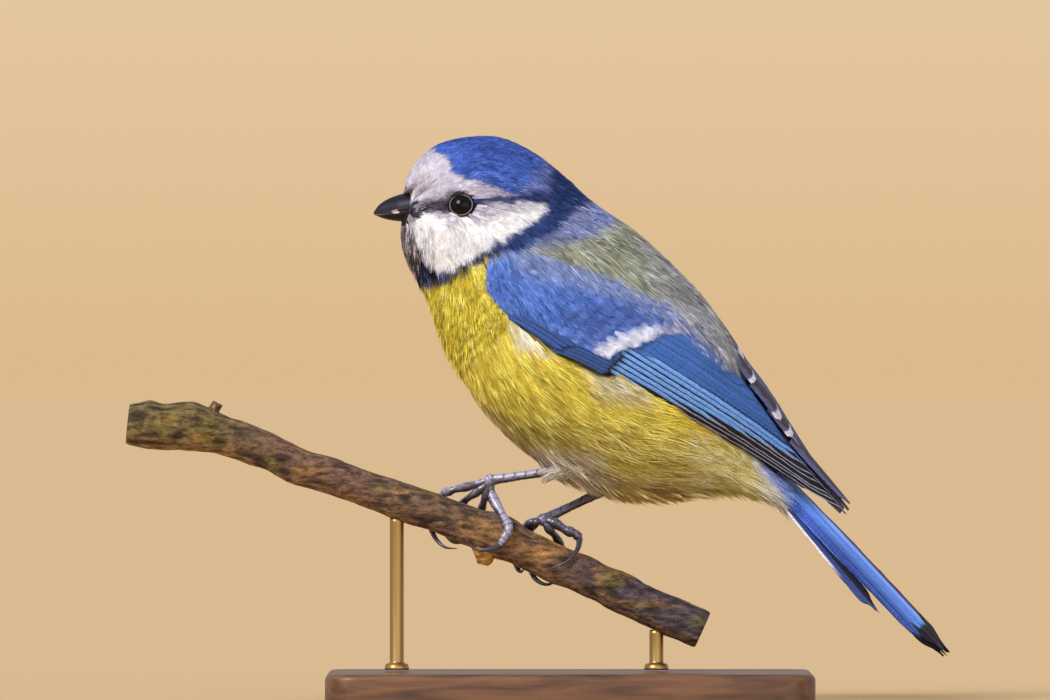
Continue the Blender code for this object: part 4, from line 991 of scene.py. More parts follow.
def make_wing(label, side, vane):
    """One wing's rows of feathers as one piece, each feather on its own strip of the unwrap."""
    grids = [wing_vanes(side, row, 40 + k) for k, row in enumerate(WING_ROWS)]
    total = sum(len(grid[0]) for grid in grids)
    place = 0
    for k, (fronts, backs, carried) in enumerate(grids):
        slot_at = (place + np.arange(len(fronts)))[:, None, None]
        carried["at"][..., 0] = (slot_at + 0.1 + 0.8 * carried["at"][..., 0]) / total
        place += len(fronts)
    fronts = np.concatenate([g[0] for g in grids])
    backs = np.concatenate([g[1] for g in grids])
    carried = {key: np.concatenate([g[2][key].reshape(len(g[0]), -1) for g in grids]) for key in grids[0][2]}
    points, faces, doubled = plates(fronts, backs, carried)
    if side < 0:
        faces = faces[:, ::-1]
    colours = {key: doubled[key].reshape(-1, 3) for key in ("edge", "web", "quill")}
    values = {key: doubled[key].ravel() for key in ("bright", "barb", "shaft")}
    wing = make_piece("wing_feathers_" + label, points, faces, vane, colours, values,
                      strip_uv(doubled["at"].reshape(-1, 2), faces))
    fit(wing, "flight_feather", "wing_" + label)


def make_wing_sheet(label, side, vane):
    """The dark sheet under the vanes: the arm's skin in front and the hidden webs behind it."""
    rows, columns = 90, 26
    share = np.linspace(0, 1, rows)[:, None]
    lower = along(WING_LOWER, share[:, 0] * 14.0)
    upper = along(WING_UPPER, share[:, 0] * 14.0)
    slices = 0.04 + (0.96 + 0.34 * smooth((share - 0.72) / 0.12)) * np.linspace(0, 1, columns)[None, :]
    flat = lower[:, None, :] * (1 - slices)[..., None] + upper[:, None, :] * slices[..., None]
    crown = np.sqrt(1 - (0.92 * np.linspace(-1, 1, columns)[None, :]) ** 2)
    behind = smooth((share - 0.44) / 0.12)
    outer = ((-0.85 + 0.45 * crown) * (1 - behind) - (1.15 - 0.05 * crown) * behind) * MM
    fronts = on_wing(flat, outer, side)[None]
    backs = on_wing(flat, outer - 0.2 * MM, side)[None]
    full = np.ones((1, rows, columns))
    colour = mix(linear("#46609F") * full[..., None], linear("#1B1C28"), behind * full)
    at = np.stack(np.broadcast_arrays(np.linspace(0.01, 0.99, columns)[None, :], share), -1)[None]
    carried = {"edge": colour, "web": colour, "quill": colour, "bright": full, "barb": full * 0,
               "shaft": full * 0, "at": at}
    points, faces, doubled = plates(fronts, backs, carried)
    if side < 0:
        faces = faces[:, ::-1]
    colours = {key: doubled[key].reshape(-1, 3) for key in ("edge", "web", "quill")}
    values = {key: doubled[key].ravel() for key in ("bright", "barb", "shaft")}
    sheet = make_piece("wing_sheet_" + label, points, faces, vane, colours, values,
                       strip_uv(doubled["at"].reshape(-1, 2), faces))
    fit(sheet, "flight_feather")


def make_seam_webs(vane):
    """Dark inner webs of the hindmost feathers, one sheet that closes the line between the wings."""
    place = np.linspace(13.2, 16.75, 70)[:, None]
    seam = np.radians(np.interp(place, SEAM[:, 0], SEAM[:, 1]))
    turn = seam + np.linspace(-0.85, 0.75, 14)[None, :]
    out = (-0.72 - 0.25 * np.abs(turn - seam)) * MM
    fronts = surface(WINGS, place, turn, out)[None]
    backs = surface(WINGS, place, turn, out - 0.15 * MM)[None]
    full = np.ones((1, 70, 14))
    colour = linear("#453A4A") * full[..., None]
    at = np.stack(np.broadcast_arrays(np.linspace(0.01, 0.99, 14)[None, :], (place - 13) / 4.2), -1)[None]
    barb = (place * 4 + np.abs(turn - seam) * 6) * 2 * math.pi / BARB_PITCH
    carried = {"edge": colour, "web": colour, "quill": colour, "bright": full, "barb": barb[None] * full,
               "shaft": full * 0, "at": at}
    points, faces, doubled = plates(fronts, backs, carried)
    colours = {key: doubled[key].reshape(-1, 3) for key in ("edge", "web", "quill")}
    values = {key: doubled[key].ravel() for key in ("bright", "barb", "shaft")}
    webs = make_piece("seam_webs", points, faces, vane, colours, values,
                      strip_uv(doubled["at"].reshape(-1, 2), faces))
    fit(webs, "flight_feather")


# Tips of the right wing's hindmost feathers in the side view: they show over the left wing
FAR_TIPS = ((29.2, 51.0), (33.3, 45.2), (35.0, 42.4), (43.2, 31.0))
FAR_TIP_WHITE = (1.0, 1.0, 1.0, 0.0)


def make_far_tips(vane):
    """Broad rounded feather ends that lie like tiles along the far side of the line."""
    rows, columns = 40, 14
    t = np.linspace(0, 1, rows)[:, None]
    v = np.linspace(-1, 1, columns)[None, :]
    fronts, backs = [], []
    kept = {key: [] for key in ("edge", "web", "quill", "bright", "barb", "shaft", "at")}
    tip_place, _ = wrap(WINGS, FAR_TIPS)
    for k, (end, white) in enumerate(zip(tip_place, FAR_TIP_WHITE)):
        start = end - (0.8, 1.1, 0.8, 1.7)[k]
        fray = noise(np.stack(np.broadcast_arrays(t * 9, v * 0.7, t * 0 + k), -1), 1.0, 64)
        place = start + (end - start) * (t * (1 - 0.10 * smooth((np.abs(v) - 0.3) / 0.7)) + 0.02 * fray * t)
        seam = np.radians(np.interp(place, SEAM[:, 0], SEAM[:, 1]))
        _, _, _, width, _ = section(WINGS, place)
        reach = 1.9 * MM / np.maximum(width, 2 * MM) * (1 - 0.25 * smooth((t - 0.85) / 0.15))
        turn = seam + 0.12 - reach * (1 + v)
        out = (0.45 + 0.10 * (3 - k) - 0.45 * (1 - t) - 0.10 * v ** 2) * MM
        fronts.append(surface(WINGS, place, turn, out))
        backs.append(surface(WINGS, place, turn, out - VANE_THICK))
        grid = np.ones((rows, columns))
        pale = smooth((t - 0.80 + 0.05 * fray) / 0.06) * white
        kept["edge"].append(mix(linear("#595C84") * grid[..., None], linear("#E2DEF0"), pale * grid))
        kept["web"].append(mix(linear("#43363F") * grid[..., None], linear("#D6D0E2"), pale * grid))
        kept["quill"].append(linear("#241E26") * grid[..., None])
        kept["bright"].append((0.5 + (-v - 0.35 + 0.3 * fray) / 0.8) * grid)
        kept["barb"].append((t * 6 + np.abs(v) * 1.4) * 2 * math.pi / BARB_PITCH * grid)
        kept["shaft"].append(np.exp(-((v - 0.1) / 0.07) ** 2) * grid * smooth((0.9 - t) / 0.1))
        kept["at"].append(np.stack(np.broadcast_arrays((k + 0.5 + 0.4 * v) / 4, 0.05 + 0.9 * t), -1))
    carried = {key: np.array(value) for key, value in kept.items()}
    points, faces, doubled = plates(np.array(fronts), np.array(backs), carried)
    colours = {key: doubled[key].reshape(-1, 3) for key in ("edge", "web", "quill")}
    values = {key: doubled[key].ravel() for key in ("bright", "barb", "shaft")}
    faces = faces[:, ::-1]
    tips = make_piece("far_feather_tips", points, faces, vane, colours, values,
                      strip_uv(doubled["at"].reshape(-1, 2), faces))
    fit(tips, "flight_feather")


vane_finish = vane_material()
make_seam_webs(vane_finish)
make_far_tips(vane_finish)
for wing_label, wing_side in (("left", 1), ("right", -1)):
    make_wing(wing_label, wing_side, vane_finish)
    make_wing_sheet(wing_label, wing_side, vane_finish)


# Tail: twelve straight feathers in a closed stack that is rolled a little towards the left
# side. The outermost left one is short and lies apart, with a white outer edge.
TAIL_ROOT = np.array([33.2, 0.0, 34.6]) * MM
TAIL_SLOPE, TAIL_ROLL = math.radians(47), math.radians(28)
TAIL_PITCH = 0.30
TAIL_LEFT_TIPS = ((0.5, 36.0), (0.7, 36.3), (0.8, 36.0), (0.4, 34.2), (0.0, 33.0), (4.5, 24.0))
TAIL_RIGHT_TIPS = ((0.8, 36.0), (1.3, 36.4), (1.8, 36.2), (2.3, 35.6), (2.8, 34.8), (3.2, 33.6))
# Tones across the folded tail, from its upper right edge (-1) to its lower left one (1)
TAIL_ACROSS = (-1.0, -0.78, -0.50, -0.15, 0.12, 0.5, 1.0)
TAIL_TONES = ("#4A3A58", "#4A60AE", "#84ACFF", "#78A1FC", "#527CD4", "#6490EA", "#4A68BC")
TAIL_WEBS = ("#4A68B8", "#33508F", "#2C4480", "#2E3B6C", "#2F2F50", "#2E2836")
TAIL_SHORT = "#3A4C88"
TAIL_TIP_DARK = "#17151C"


def make_tail(vane):
    """Each feather is a grid along its shaft by across it, with a bright outer vane."""
    ahead = np.array([math.cos(TAIL_SLOPE), 0, -math.sin(TAIL_SLOPE)])
    square = np.array([math.sin(TAIL_SLOPE), 0, math.cos(TAIL_SLOPE)])
    normal = square * math.cos(TAIL_ROLL) + np.array([0, -math.sin(TAIL_ROLL), 0])
    left = np.cross(ahead, normal)
    rows, columns = 60, 23
    t = (np.linspace(0, 1, rows) ** 0.8)[:, None]
    v = np.linspace(-1, 1, columns)[None, :]
    fronts, backs = [], []
    kept = {key: [] for key in ("edge", "web", "quill", "bright", "barb", "shaft", "at")}
    for sign, tips in ((1, TAIL_LEFT_TIPS), (-1, TAIL_RIGHT_TIPS)):
        for order, (tip_side, length) in enumerate(tips):
            half = (2.2 - 0.08 * order) * (0.72 + 0.28 * smooth(t / 0.5))
            half = half * (1 - 0.80 * smooth((t - 0.86) / 0.14) ** 1.8)
            spot = np.stack(np.broadcast_arrays(t * length * 0.8, v * 0.8, order + 20.0 * sign), -1)
            fray = noise(spot, 1.0, 61)
            jag = noise(np.stack(np.broadcast_arrays(v * 4.5, t * 4.0, order + 5.0 * sign), -1), 1.0, 62)
            ragged = 0.12 * fray * np.abs(v) ** 3 * smooth(t / 0.2)
            middle = (0.3 + 0.3 * order) * (1 - t) + tip_side * t
            across = sign * middle + (half * v + ragged)
            arch = 0.10 * (1 - v ** 2) + 0.06 * np.exp(-((v - 0.1 * sign) / 0.07) ** 2)
            height = 0.75 - TAIL_PITCH * (order + 0.5 * (sign < 0)) - 0.05 * np.abs(across) + arch
            far = t * (length + 1.0) - 1.0 + 1.1 * jag * smooth((t - 0.93) / 0.07)
            plate = TAIL_ROOT + (far * MM)[..., None] * ahead + (across * MM)[..., None] * left
            thick = (0.16 - 0.08 * smooth((t - 0.9) / 0.1))[..., None] * MM
            raised = plate + (height * MM)[..., None] * normal
            fronts.append(raised)
            backs.append(raised - thick * normal)
            outer_vane = smooth((v * sign - 0.05) / 0.2)
            grid = np.ones((rows, columns))
            tones = np.array([linear(tone) for tone in TAIL_TONES])
            blue = np.stack([np.interp(across / 2.2, TAIL_ACROSS, tones[:, c]) for c in range(3)], -1)
            # Painted light: the blue is up to 60% brighter towards the root, against the shade that the wing
            # casts there.
            blue = blue * (1 + 0.6 * smooth((0.45 - t) / 0.3))[..., None]
            if order == 5:
                blue = linear(TAIL_SHORT) * grid[..., None]
            streak_spot = np.stack(np.broadcast_arrays(v * 11, t * 3.0, order + 9.0 * sign), -1)
            blue = blue * np.exp(0.50 * noise(streak_spot, 1.0, 67))[..., None]
            dark = linear(TAIL_WEBS[order]) * grid[..., None]
            if order == 5:
                white = smooth((v * sign - 0.72) / 0.12) * smooth((0.75 - t) / 0.2)
                blue = mix(blue, linear("#EDEBF0"), white)
            tipped = smooth((t - 0.86 + 0.055 * jag) / 0.015) * (order < 5) * grid
            blue = mix(blue, linear(TAIL_TIP_DARK), tipped)
            dark = mix(dark, linear(TAIL_TIP_DARK), tipped)
            kept["edge"].append(blue)
            kept["web"].append(dark)
            pale = 0.75 * smooth((t - 0.3) / 0.1) * (sign > 0) * (order < 3) * grid
            kept["quill"].append(mix(linear("#1E2238") * grid[..., None], linear("#A9AAD0"), pale))
            kept["bright"].append(outer_vane + 0 * t if order else 1 + 0 * t * v)
            kept["barb"].append((far + np.abs(v - 0.1 * sign) * half * 1.2) * 2 * math.pi / 0.34)
            kept["shaft"].append(np.exp(-((v - 0.1 * sign) * half / 0.09) ** 2) + 0 * t)
            number = order + 6 * (sign < 0)
            at_strip = np.broadcast_arrays((number + 0.5 + 0.4 * v) / 12, 0.05 + 0.9 * t)
            kept["at"].append(np.stack(at_strip, -1))
    carried = {key: np.array(value) for key, value in kept.items()}
    points, faces, doubled = plates(np.array(fronts), np.array(backs), carried)
    colours = {key: doubled[key].reshape(-1, 3) for key in ("edge", "web", "quill")}
    values = {key: doubled[key].ravel() for key in ("bright", "barb", "shaft")}
    tail = make_piece("tail_feathers", points, faces[:, ::-1], vane, colours, values,
                      strip_uv(doubled["at"].reshape(-1, 2), faces[:, ::-1]))
    fit(tail, "flight_feather", "tail")


make_tail(vane_finish)


# Eyes: glossy dark brown balls with a black pupil, each in a bare, thin, slate-grey ring of
# lid that is finely wrinkled. The ball sits in the socket with only its front showing.
EYEBALL_RADIUS = 2.35 * MM
EYE_OPENING = 1.60 * MM
LID_RING, LID_THICK = 1.68 * MM, 0.11 * MM
PUPIL_SHARE = 0.46


def make_eyes():
    """Each ball is rings round its own line of sight, so the pupil is a share of that angle."""
    ball, tree, shader = new_material("wet dark brown eye")
    set_shader(shader, Roughness=0.13, IOR=1.36, Specular_IOR_Level=0.3)
    angle = node(tree, "Attribute", attribute_name="angle")
    place = node(tree, "TexCoord")
    streak = node(tree, "TexNoise", [("Vector", place.outputs["Object"])], Scale=3200.0, Detail=3.0)
    shift = node(tree, "MapRange", [("Value", streak.outputs["Fac"])], To_Min=-0.05, To_Max=0.05)
    edge = node(tree, "Math", [(0, angle.outputs["Fac"]), (1, shift.outputs["Result"])], operation="ADD")
    ramp = node(tree, "ValToRGB", [("Fac", edge.outputs[0])])
    stops = ramp.color_ramp.elements
    stops[0].position, stops[0].color = PUPIL_SHARE - 0.03, (*linear("#050406"), 1)
    stops[1].position, stops[1].color = 1.0, (*linear("#080606"), 1)
    brown = stops.new(PUPIL_SHARE + 0.03)
    brown.color = (*linear("#120A09"), 1)
    tree.links.new(ramp.outputs["Color"], shader.inputs["Base Color"])
    lid, lid_tree, lid_shader = new_material("bare slate-grey lid")
    set_shader(lid_shader, Roughness=0.45)
    lid_place = node(lid_tree, "TexCoord")
    wrinkle = node(lid_tree, "TexVoronoi", [("Vector", lid_place.outputs["Object"])], Scale=5200.0)
    grey = node(lid_tree, "ValToRGB", [("Fac", wrinkle.outputs["Distance"])])
    grey.color_ramp.elements[0].color = (*linear("#7C7A84"), 1)
    grey.color_ramp.elements[1].color = (*linear("#3C3A40"), 1)
    dent = node(lid_tree, "Bump", [("Height", wrinkle.outputs["Distance"])], Strength=0.5,
                Distance=0.03 * MM)
    lid_tree.links.new(grey.outputs["Color"], lid_shader.inputs["Base Color"])
    lid_tree.links.new(dent.outputs["Normal"], lid_shader.inputs["Normal"])
    behind = math.sqrt(EYEBALL_RADIUS ** 2 - EYE_OPENING ** 2)
    for label, side in (("left", 1), ("right", -1)):
        here, out = eye_frame(side)
        rim = here - out * EYE_DISH_DEPTH
        centre = rim - out * behind
        first = np.cross(out, (0.0, 0.0, 1.0))
        first /= np.linalg.norm(first)
        second = np.cross(out, first)
        turn = np.linspace(0, 2 * math.pi, 64, endpoint=False)
        spoke = np.cos(turn)[:, None] * first + np.sin(turn)[:, None] * second
        polar = np.linspace(0.002, math.pi - 0.002, 48)
        rings = centre + EYEBALL_RADIUS * (np.cos(polar)[:, None, None] * out
                                           + np.sin(polar)[:, None, None] * spoke[None])
        share = np.repeat(np.clip(polar / 0.81, 0, 1.2), 64)
        points, tris = close_ends(rings.reshape(-1, 3), grid_faces(48, 64, closed=True), 64)
        share = np.append(share, [0.0, 1.2])
        eye = make_piece("eyeball_" + label, points, tris, ball, values={"angle": share})
        fit(eye, "eye", "eye_" + label)
        tube = np.linspace(0, 2 * math.pi, 20, endpoint=False)
        almond = 1 + 0.05 * np.cos(2 * turn)
        pucker = 1 + 0.10 * np.sin(turn * 26) * np.cos(turn * 7)
        spread = (LID_RING * almond)[:, None] + (LID_THICK * pucker)[:, None] * np.cos(tube)
        rise = (LID_THICK * pucker)[:, None] * np.sin(tube) * 0.9
        ring = rim + spread[..., None] * spoke[:, None, :] + rise[..., None] * out
        ring = np.concatenate([ring, ring[:1]])
        rim_piece = make_piece("lid_" + label, ring, grid_faces(65, 20, closed=True), lid)
        fit(rim_piece, "eye")


make_eyes()


# Bill: short, stout and pointed, two hollow-sided halves of dark horn that shut along a
# slightly bent line. The edges are paler and worn, and the nostrils are small round pits.
# A small white spot on the gape is a painted highlight, and the nostrils' pits are painted dark as painted
# shade.
BILL_TOP = np.array([(-24.6, 80.05), (-26.45, 79.5), (-28.2, 78.85), (-29.7, 77.9), (-30.6, 76.75)])
BILL_MOUTH = np.array([(-24.6, 77.15), (-26.45, 76.95), (-28.2, 76.55), (-29.7, 76.3), (-30.55, 76.3)])
BILL_FOOT = np.array([(-24.8, 75.1), (-26.45, 75.25), (-28.0, 75.45), (-29.2, 75.75), (-30.2, 76.15)])
BILL_HALF_WIDTH = np.array([2.75, 2.25, 1.45, 0.75, 0.14])
NOSTRIL = (-26.3, 78.1)


def bill_material():
    """Dark horn: the bill's tones, with a painted highlight and the nostrils' painted shade, under a grain
    that is drawn out along it.
    """
    horn, tree, shader = new_material("bill horn")
    set_shader(shader, Roughness=0.40, Specular_IOR_Level=0.2)
    edge = node(tree, "Attribute", attribute_name="edge")
    place = node(tree, "TexCoord")
    along_bill = node(tree, "Mapping", [("Vector", place.outputs["Object"])], Scale=(0.25, 1.0, 1.0))
    grain = node(tree, "TexNoise", [("Vector", along_bill.outputs["Vector"])], Scale=2600.0, Detail=4.0)
    shade = node(tree, "MapRange", [("Value", grain.outputs["Fac"])], To_Min=0.6, To_Max=1.4)
    tone = node(tree, "VectorMath", [(0, edge.outputs["Color"]), ("Scale", shade.outputs["Result"])],
                operation="SCALE")
    relief = node(tree, "Bump", [("Height", grain.outputs["Fac"])], Strength=0.25, Distance=0.04 * MM)
    tree.links.new(tone.outputs["Vector"], shader.inputs["Base Color"])
    tree.links.new(relief.outputs["Normal"], shader.inputs["Normal"])
    return horn


def make_bill():
    """Each half is D-shaped sections along its two edges: an arch over a nearly flat seam."""
    horn = bill_material()
    rows, columns = 60, 48
    place = np.linspace(0, 4, rows)
    for name, edge, lift, wide in (("bill_upper", BILL_TOP, 0.02, 1.0),
                                   ("bill_lower", BILL_FOOT, -0.02, 0.93)):
        crown = along(edge, place) * MM
        seam = along(BILL_MOUTH, place) * MM + np.array([0, lift * MM])
        width = along(BILL_HALF_WIDTH[:, None] * wide, place) * MM
        turn = np.linspace(0, math.pi, columns - 8)[None, :]
        arch = np.sin(turn) ** (0.8 if lift > 0 else 1.0)
        x = seam[:, :1] + (crown[:, :1] - seam[:, :1]) * arch
        z = seam[:, 1:] + (crown[:, 1:] - seam[:, 1:]) * arch
        y = width * np.cos(turn) * (1 - 0.14 * np.sin(turn) ** 2)
        under = np.linspace(-0.92, 0.92, 8)[None, :]
        x2 = seam[:, :1] + 0 * under
        z2 = seam[:, 1:] + 0.0 * under
        points = np.stack([np.hstack([x, x2]), np.hstack([y, width * under]), np.hstack([z, z2])], -1)
        spot = points[..., [0, 2]] / MM - np.array(NOSTRIL)
        pit = np.exp(-((spot[..., 0] / 0.36) ** 2 + (spot[..., 1] / 0.20) ** 2))
        pit = pit * (np.abs(points[..., 1]) > 0.9 * MM) * (lift > 0)
        points[..., 1] -= np.sign(points[..., 1]) * 0.04 * MM * pit
        rim = np.exp(-((np.hstack([arch, 0 * under]) + 0 * points[..., 0]) / 0.16) ** 2)
        worn = smooth((place - 2.4) / 1.4)[:, None]
        colour = mix(linear("#171525" if lift > 0 else "#241A18") + 0 * points, linear("#55505C"), 0.5 * rim)
        colour = mix(colour, linear("#34323F"), 0.5 * worn + 0 * rim)
        # Painted shade: the nostril's shallow pit is painted nearly black.
        colour = mix(colour, linear("#0B0A0D"), pit)
        # Painted highlight: a small white spot on the gape, near the middle of the bill.
        from_painted_highlight = ((points[..., 0] / MM + 27.2) / 0.8) ** 2 + ((points[..., 2] / MM - 76.7) / 0.3) ** 2
        painted_highlight = np.exp(-from_painted_highlight)
        colour = mix(colour, linear("#E9E2E2"), smooth((painted_highlight - 0.45) / 0.3))
        faces = grid_faces(rows, columns, closed=True)
        if lift > 0:
            faces = faces[:, ::-1]
        shut, tris = close_ends(points.reshape(-1, 3), faces, columns)
        if lift > 0:
            tris[-2 * columns:] = tris[-2 * columns:, ::-1]
        colour = np.vstack([colour.reshape(-1, 3), colour[0].mean(0), colour[-1].mean(0)])
        fit(make_piece("horn_" + name, shut, tris, horn, {"edge": colour}), "bill_horn", name)


make_bill()


# Legs and feet: slate-blue bare shanks and toes, the shank plated in front with long smooth
# scutes and the toes with short ones, soft pads below, and curved, laterally flat dark claws.
# The scales are painted lighter on their upper, outer side and darker below and in the creases between the
# plates, as painted light and shade, and the far leg is painted darker as a whole, as painted shade.
GAP = 0.30 * MM
NEAR_JOINT = np.array([-12.5, 0.2, 34.9]) * MM
NEAR_HEEL = np.array([-1.3, -5.0, 36.5]) * MM
NEAR_THIGH = np.array([8.5, -4.6, 40.5]) * MM
FAR_JOINT = np.array([-4.2, 0.9, 28.7]) * MM
FAR_HEEL = np.array([5.3, 5.0, 33.2]) * MM
FAR_THIGH = np.array([12.0, 4.6, 41.0]) * MM
TOES = {
    "left": {
        "hind": (-1, [(-12.1, 32.3), (-10.1, 28.7), (-9.6, 27.1), (-10.9, 24.8)],
                 [(-12.8, 24.1), (-14.9, 24.3), (-16.4, 25.7)]),
        "middle": (1, [(-15.6, 34.0), (-18.6, 33.2), (-20.6, 31.6), (-22.0, 29.0)],
                   [(-21.2, 26.2), (-19.6, 24.5), (-17.6, 24.2)]),
        "inner": (1, [(-14.2, 33.2), (-16.4, 31.6), (-18.4, 28.8), (-19.3, 26.7)],
                  [(-18.3, 25.4), (-16.9, 25.2), (-15.9, 26.0)]),
        "outer": (1, [(-13.0, 32.8), (-13.6, 31.0), (-14.4, 28.2), (-14.8, 25.7)],
                  [(-13.6, 24.6), (-12.3, 24.5), (-11.5, 25.3)]),
    },
    "right": {
        "hind": (-1, [(-2.6, 28.3), (-0.6, 27.1), (0.9, 26.5), (1.5, 25.6)],
                 [(1.1, 24.0), (-0.6, 22.2), (-2.9, 21.2)]),
        "middle": (1, [(-5.4, 28.2), (-6.3, 26.6), (-6.6, 24.0), (-6.3, 21.6)],
                   [(-5.4, 19.5), (-3.4, 18.6), (-0.9, 19.9)]),
        "inner": (1, [(-6.0, 28.3), (-7.6, 26.8), (-8.5, 24.6), (-8.6, 22.4)],
                  [(-8.1, 21.0), (-7.6, 20.6), (-7.1, 21.0)]),
        "outer": (1, [(-3.4, 27.4), (-2.2, 26.0), (-1.0, 23.6), (-0.2, 21.4)],
                  [(0.7, 20.1), (1.9, 19.7), (3.0, 20.3)]),
    },
}
TOE_THICK = {"hind": 0.75, "middle": 0.66, "inner": 0.6, "outer": 0.62}
KNUCKLE_RADIUS = 1.0 * MM
CLAW_FROM, CLAW_TO = 0.52 * MM, 0.05 * MM
SCUTE_SHANK, SCUTE_TOE = 1.9 * MM, 0.75 * MM
# Painted light and shade: the tone of the lit side and of the shaded side for each leg, darker for the far
# leg.
SHANK_PAINTED_LIT = {"left": "#A9A2BC", "right": "#6D6A84"}
SHANK_PAINTED_SHADE = {"left": "#2F2936", "right": "#1E1C26"}


def perch_at(x):
    """Middle of the branch in the side view, its radius, and the way that it runs."""
    x = np.asarray(x, float)
    place = np.interp(x / MM, PERCH_LINE[:, 0], np.arange(len(PERCH_LINE)))
    ahead = along(PERCH_LINE, place + 0.05) - along(PERCH_LINE, place - 0.05)
    ahead /= np.linalg.norm(ahead, axis=-1)[..., None]
    radius = np.interp(x / MM, PERCH_RADIUS[:, 0], PERCH_RADIUS[:, 1]) * MM
    return along(PERCH_LINE, place) * MM, radius, ahead


def at_perch(x, z, sense, thick):
    """A side-view point in mm brought to the branch's near (-1) or far (+1) face, clear of it."""
    middle, radius, ahead = perch_at(x * MM)
    up = np.array([-ahead[1], ahead[0]])
    up = up if up[1] > 0 else -up
    height = float(np.dot(np.array([x, z]) * MM - middle, up))
    reach = radius + GAP + thick
    deep = math.sqrt(max(reach ** 2 - height ** 2, 0.0))
    return np.array([x * MM, PERCH_Y + sense * deep, z * MM])


def clear_of_perch(path, thick):
    """A path with each point moved straight out until it lies clear of the branch."""
    x = np.linspace(-70 * MM, 20.6 * MM, 400)
    middle, radius, _ = perch_at(x)
    axis = np.stack([middle[:, 0], np.full(len(x), PERCH_Y), middle[:, 1]], -1)
    away = path[:, None, :] - axis[None, :, :]
    distance = np.linalg.norm(away, axis=-1)
    near = distance.argmin(axis=1)
    rows = np.arange(len(path))
    short = distance[rows, near]
    least = radius[near] + GAP * 0.5 + thick
    return axis[near] + away[rows, near] * (np.maximum(short, least) / short)[:, None]


def scaled_rod(path, radius, plate_long, outward, light, dark, seed):
    """A round rod with plates on its outer side: each rises to its far edge and overlaps the next.

    The plates' edges are steps of 5% of the radius, and the other side is pebbled with pads.
    """
    count = len(path)
    points, spoke, _ = rings_along(path, radius, 28)
    far = np.concatenate([[0], np.cumsum(np.linalg.norm(np.diff(path, axis=0), axis=1))])
    facing = (spoke @ outward)
    phase = (far / plate_long)[:, None] + 0.12 * facing
    step = phase - np.floor(phase)
    crease = np.exp(-(np.minimum(step, 1 - step) / 0.10) ** 2)
    plated = smooth((facing + 0.35) / 0.5)
    pebble = noise(points, 0.35 * MM, seed)
    rise = plated * (0.055 * step - 0.10 * crease) + (1 - plated) * 0.06 * pebble
    full_radius = np.broadcast_to(np.asarray(radius).reshape(count, -1), (count, 1))
    points = points + spoke * (rise * full_radius)[..., None]
    # Painted light and shade: each ring is lighter on the side that faces outward and darker on the other.
    shade = smooth(0.30 + 0.66 * facing + 0.34 * noise(points, 0.5 * MM, seed + 3))
    colour = mix(linear(dark) + 0 * points, linear(light), shade)
    # Painted shade: the creases between the plates are painted darker.
    colour = mix(colour, linear(dark) * 0.5, crease * plated * 0.8)
    shut, tris = close_ends(points.reshape(-1, 3), grid_faces(count, 28, closed=True), 28)
    return shut, tris, np.vstack([colour.reshape(-1, 3), colour[0].mean(0), colour[-1].mean(0)])


def join(parts):
    """Several (points, triangles, colours) as one."""
    offset = np.cumsum([0] + [len(p[0]) for p in parts[:-1]])
    tris = np.vstack([p[1] + o for p, o in zip(parts, offset)])
    return np.vstack([p[0] for p in parts]), tris, np.vstack([p[2] for p in parts])


def leg_material():
    """Horny scales: the plates' tones with their painted light and shade, fine wrinkles in the bump and a
    soft gloss.
    """
    scale, tree, shader = new_material("slate-blue leg scales")
    set_shader(shader, Roughness=0.3, Specular_IOR_Level=0.9)
    paint = node(tree, "Attribute", attribute_name="paint")
    place = node(tree, "TexCoord")
    grain = node(tree, "TexNoise", [("Vector", place.outputs["Object"])], Scale=4200.0, Detail=4.0)
    shade = node(tree, "MapRange", [("Value", grain.outputs["Fac"])], To_Min=0.7, To_Max=1.3)
    tone = node(tree, "VectorMath", [(0, paint.outputs["Color"]), ("Scale", shade.outputs["Result"])],
                operation="SCALE")
    relief = node(tree, "Bump", [("Height", grain.outputs["Fac"])], Strength=0.3, Distance=0.04 * MM)
    tree.links.new(tone.outputs["Vector"], shader.inputs["Base Color"])
    tree.links.new(relief.outputs["Normal"], shader.inputs["Normal"])
    return scale


def claw_material():
    """Glossy horn in two dark greys, mottled by a fine noise."""
    claw, tree, shader = new_material("claw horn")
    set_shader(shader, Roughness=0.28, Coat_Weight=0.2)
    place = node(tree, "TexCoord")
    grain = node(tree, "TexNoise", [("Vector", place.outputs["Object"])], Scale=1800.0, Detail=2.0)
    tone = node(tree, "ValToRGB", [("Fac", grain.outputs["Fac"])])
    tone.color_ramp.elements[0].color = (*linear("#221F26"), 1)
    tone.color_ramp.elements[1].color = (*linear("#5A5260"), 1)
    tree.links.new(tone.outputs["Color"], shader.inputs["Base Color"])
    return claw


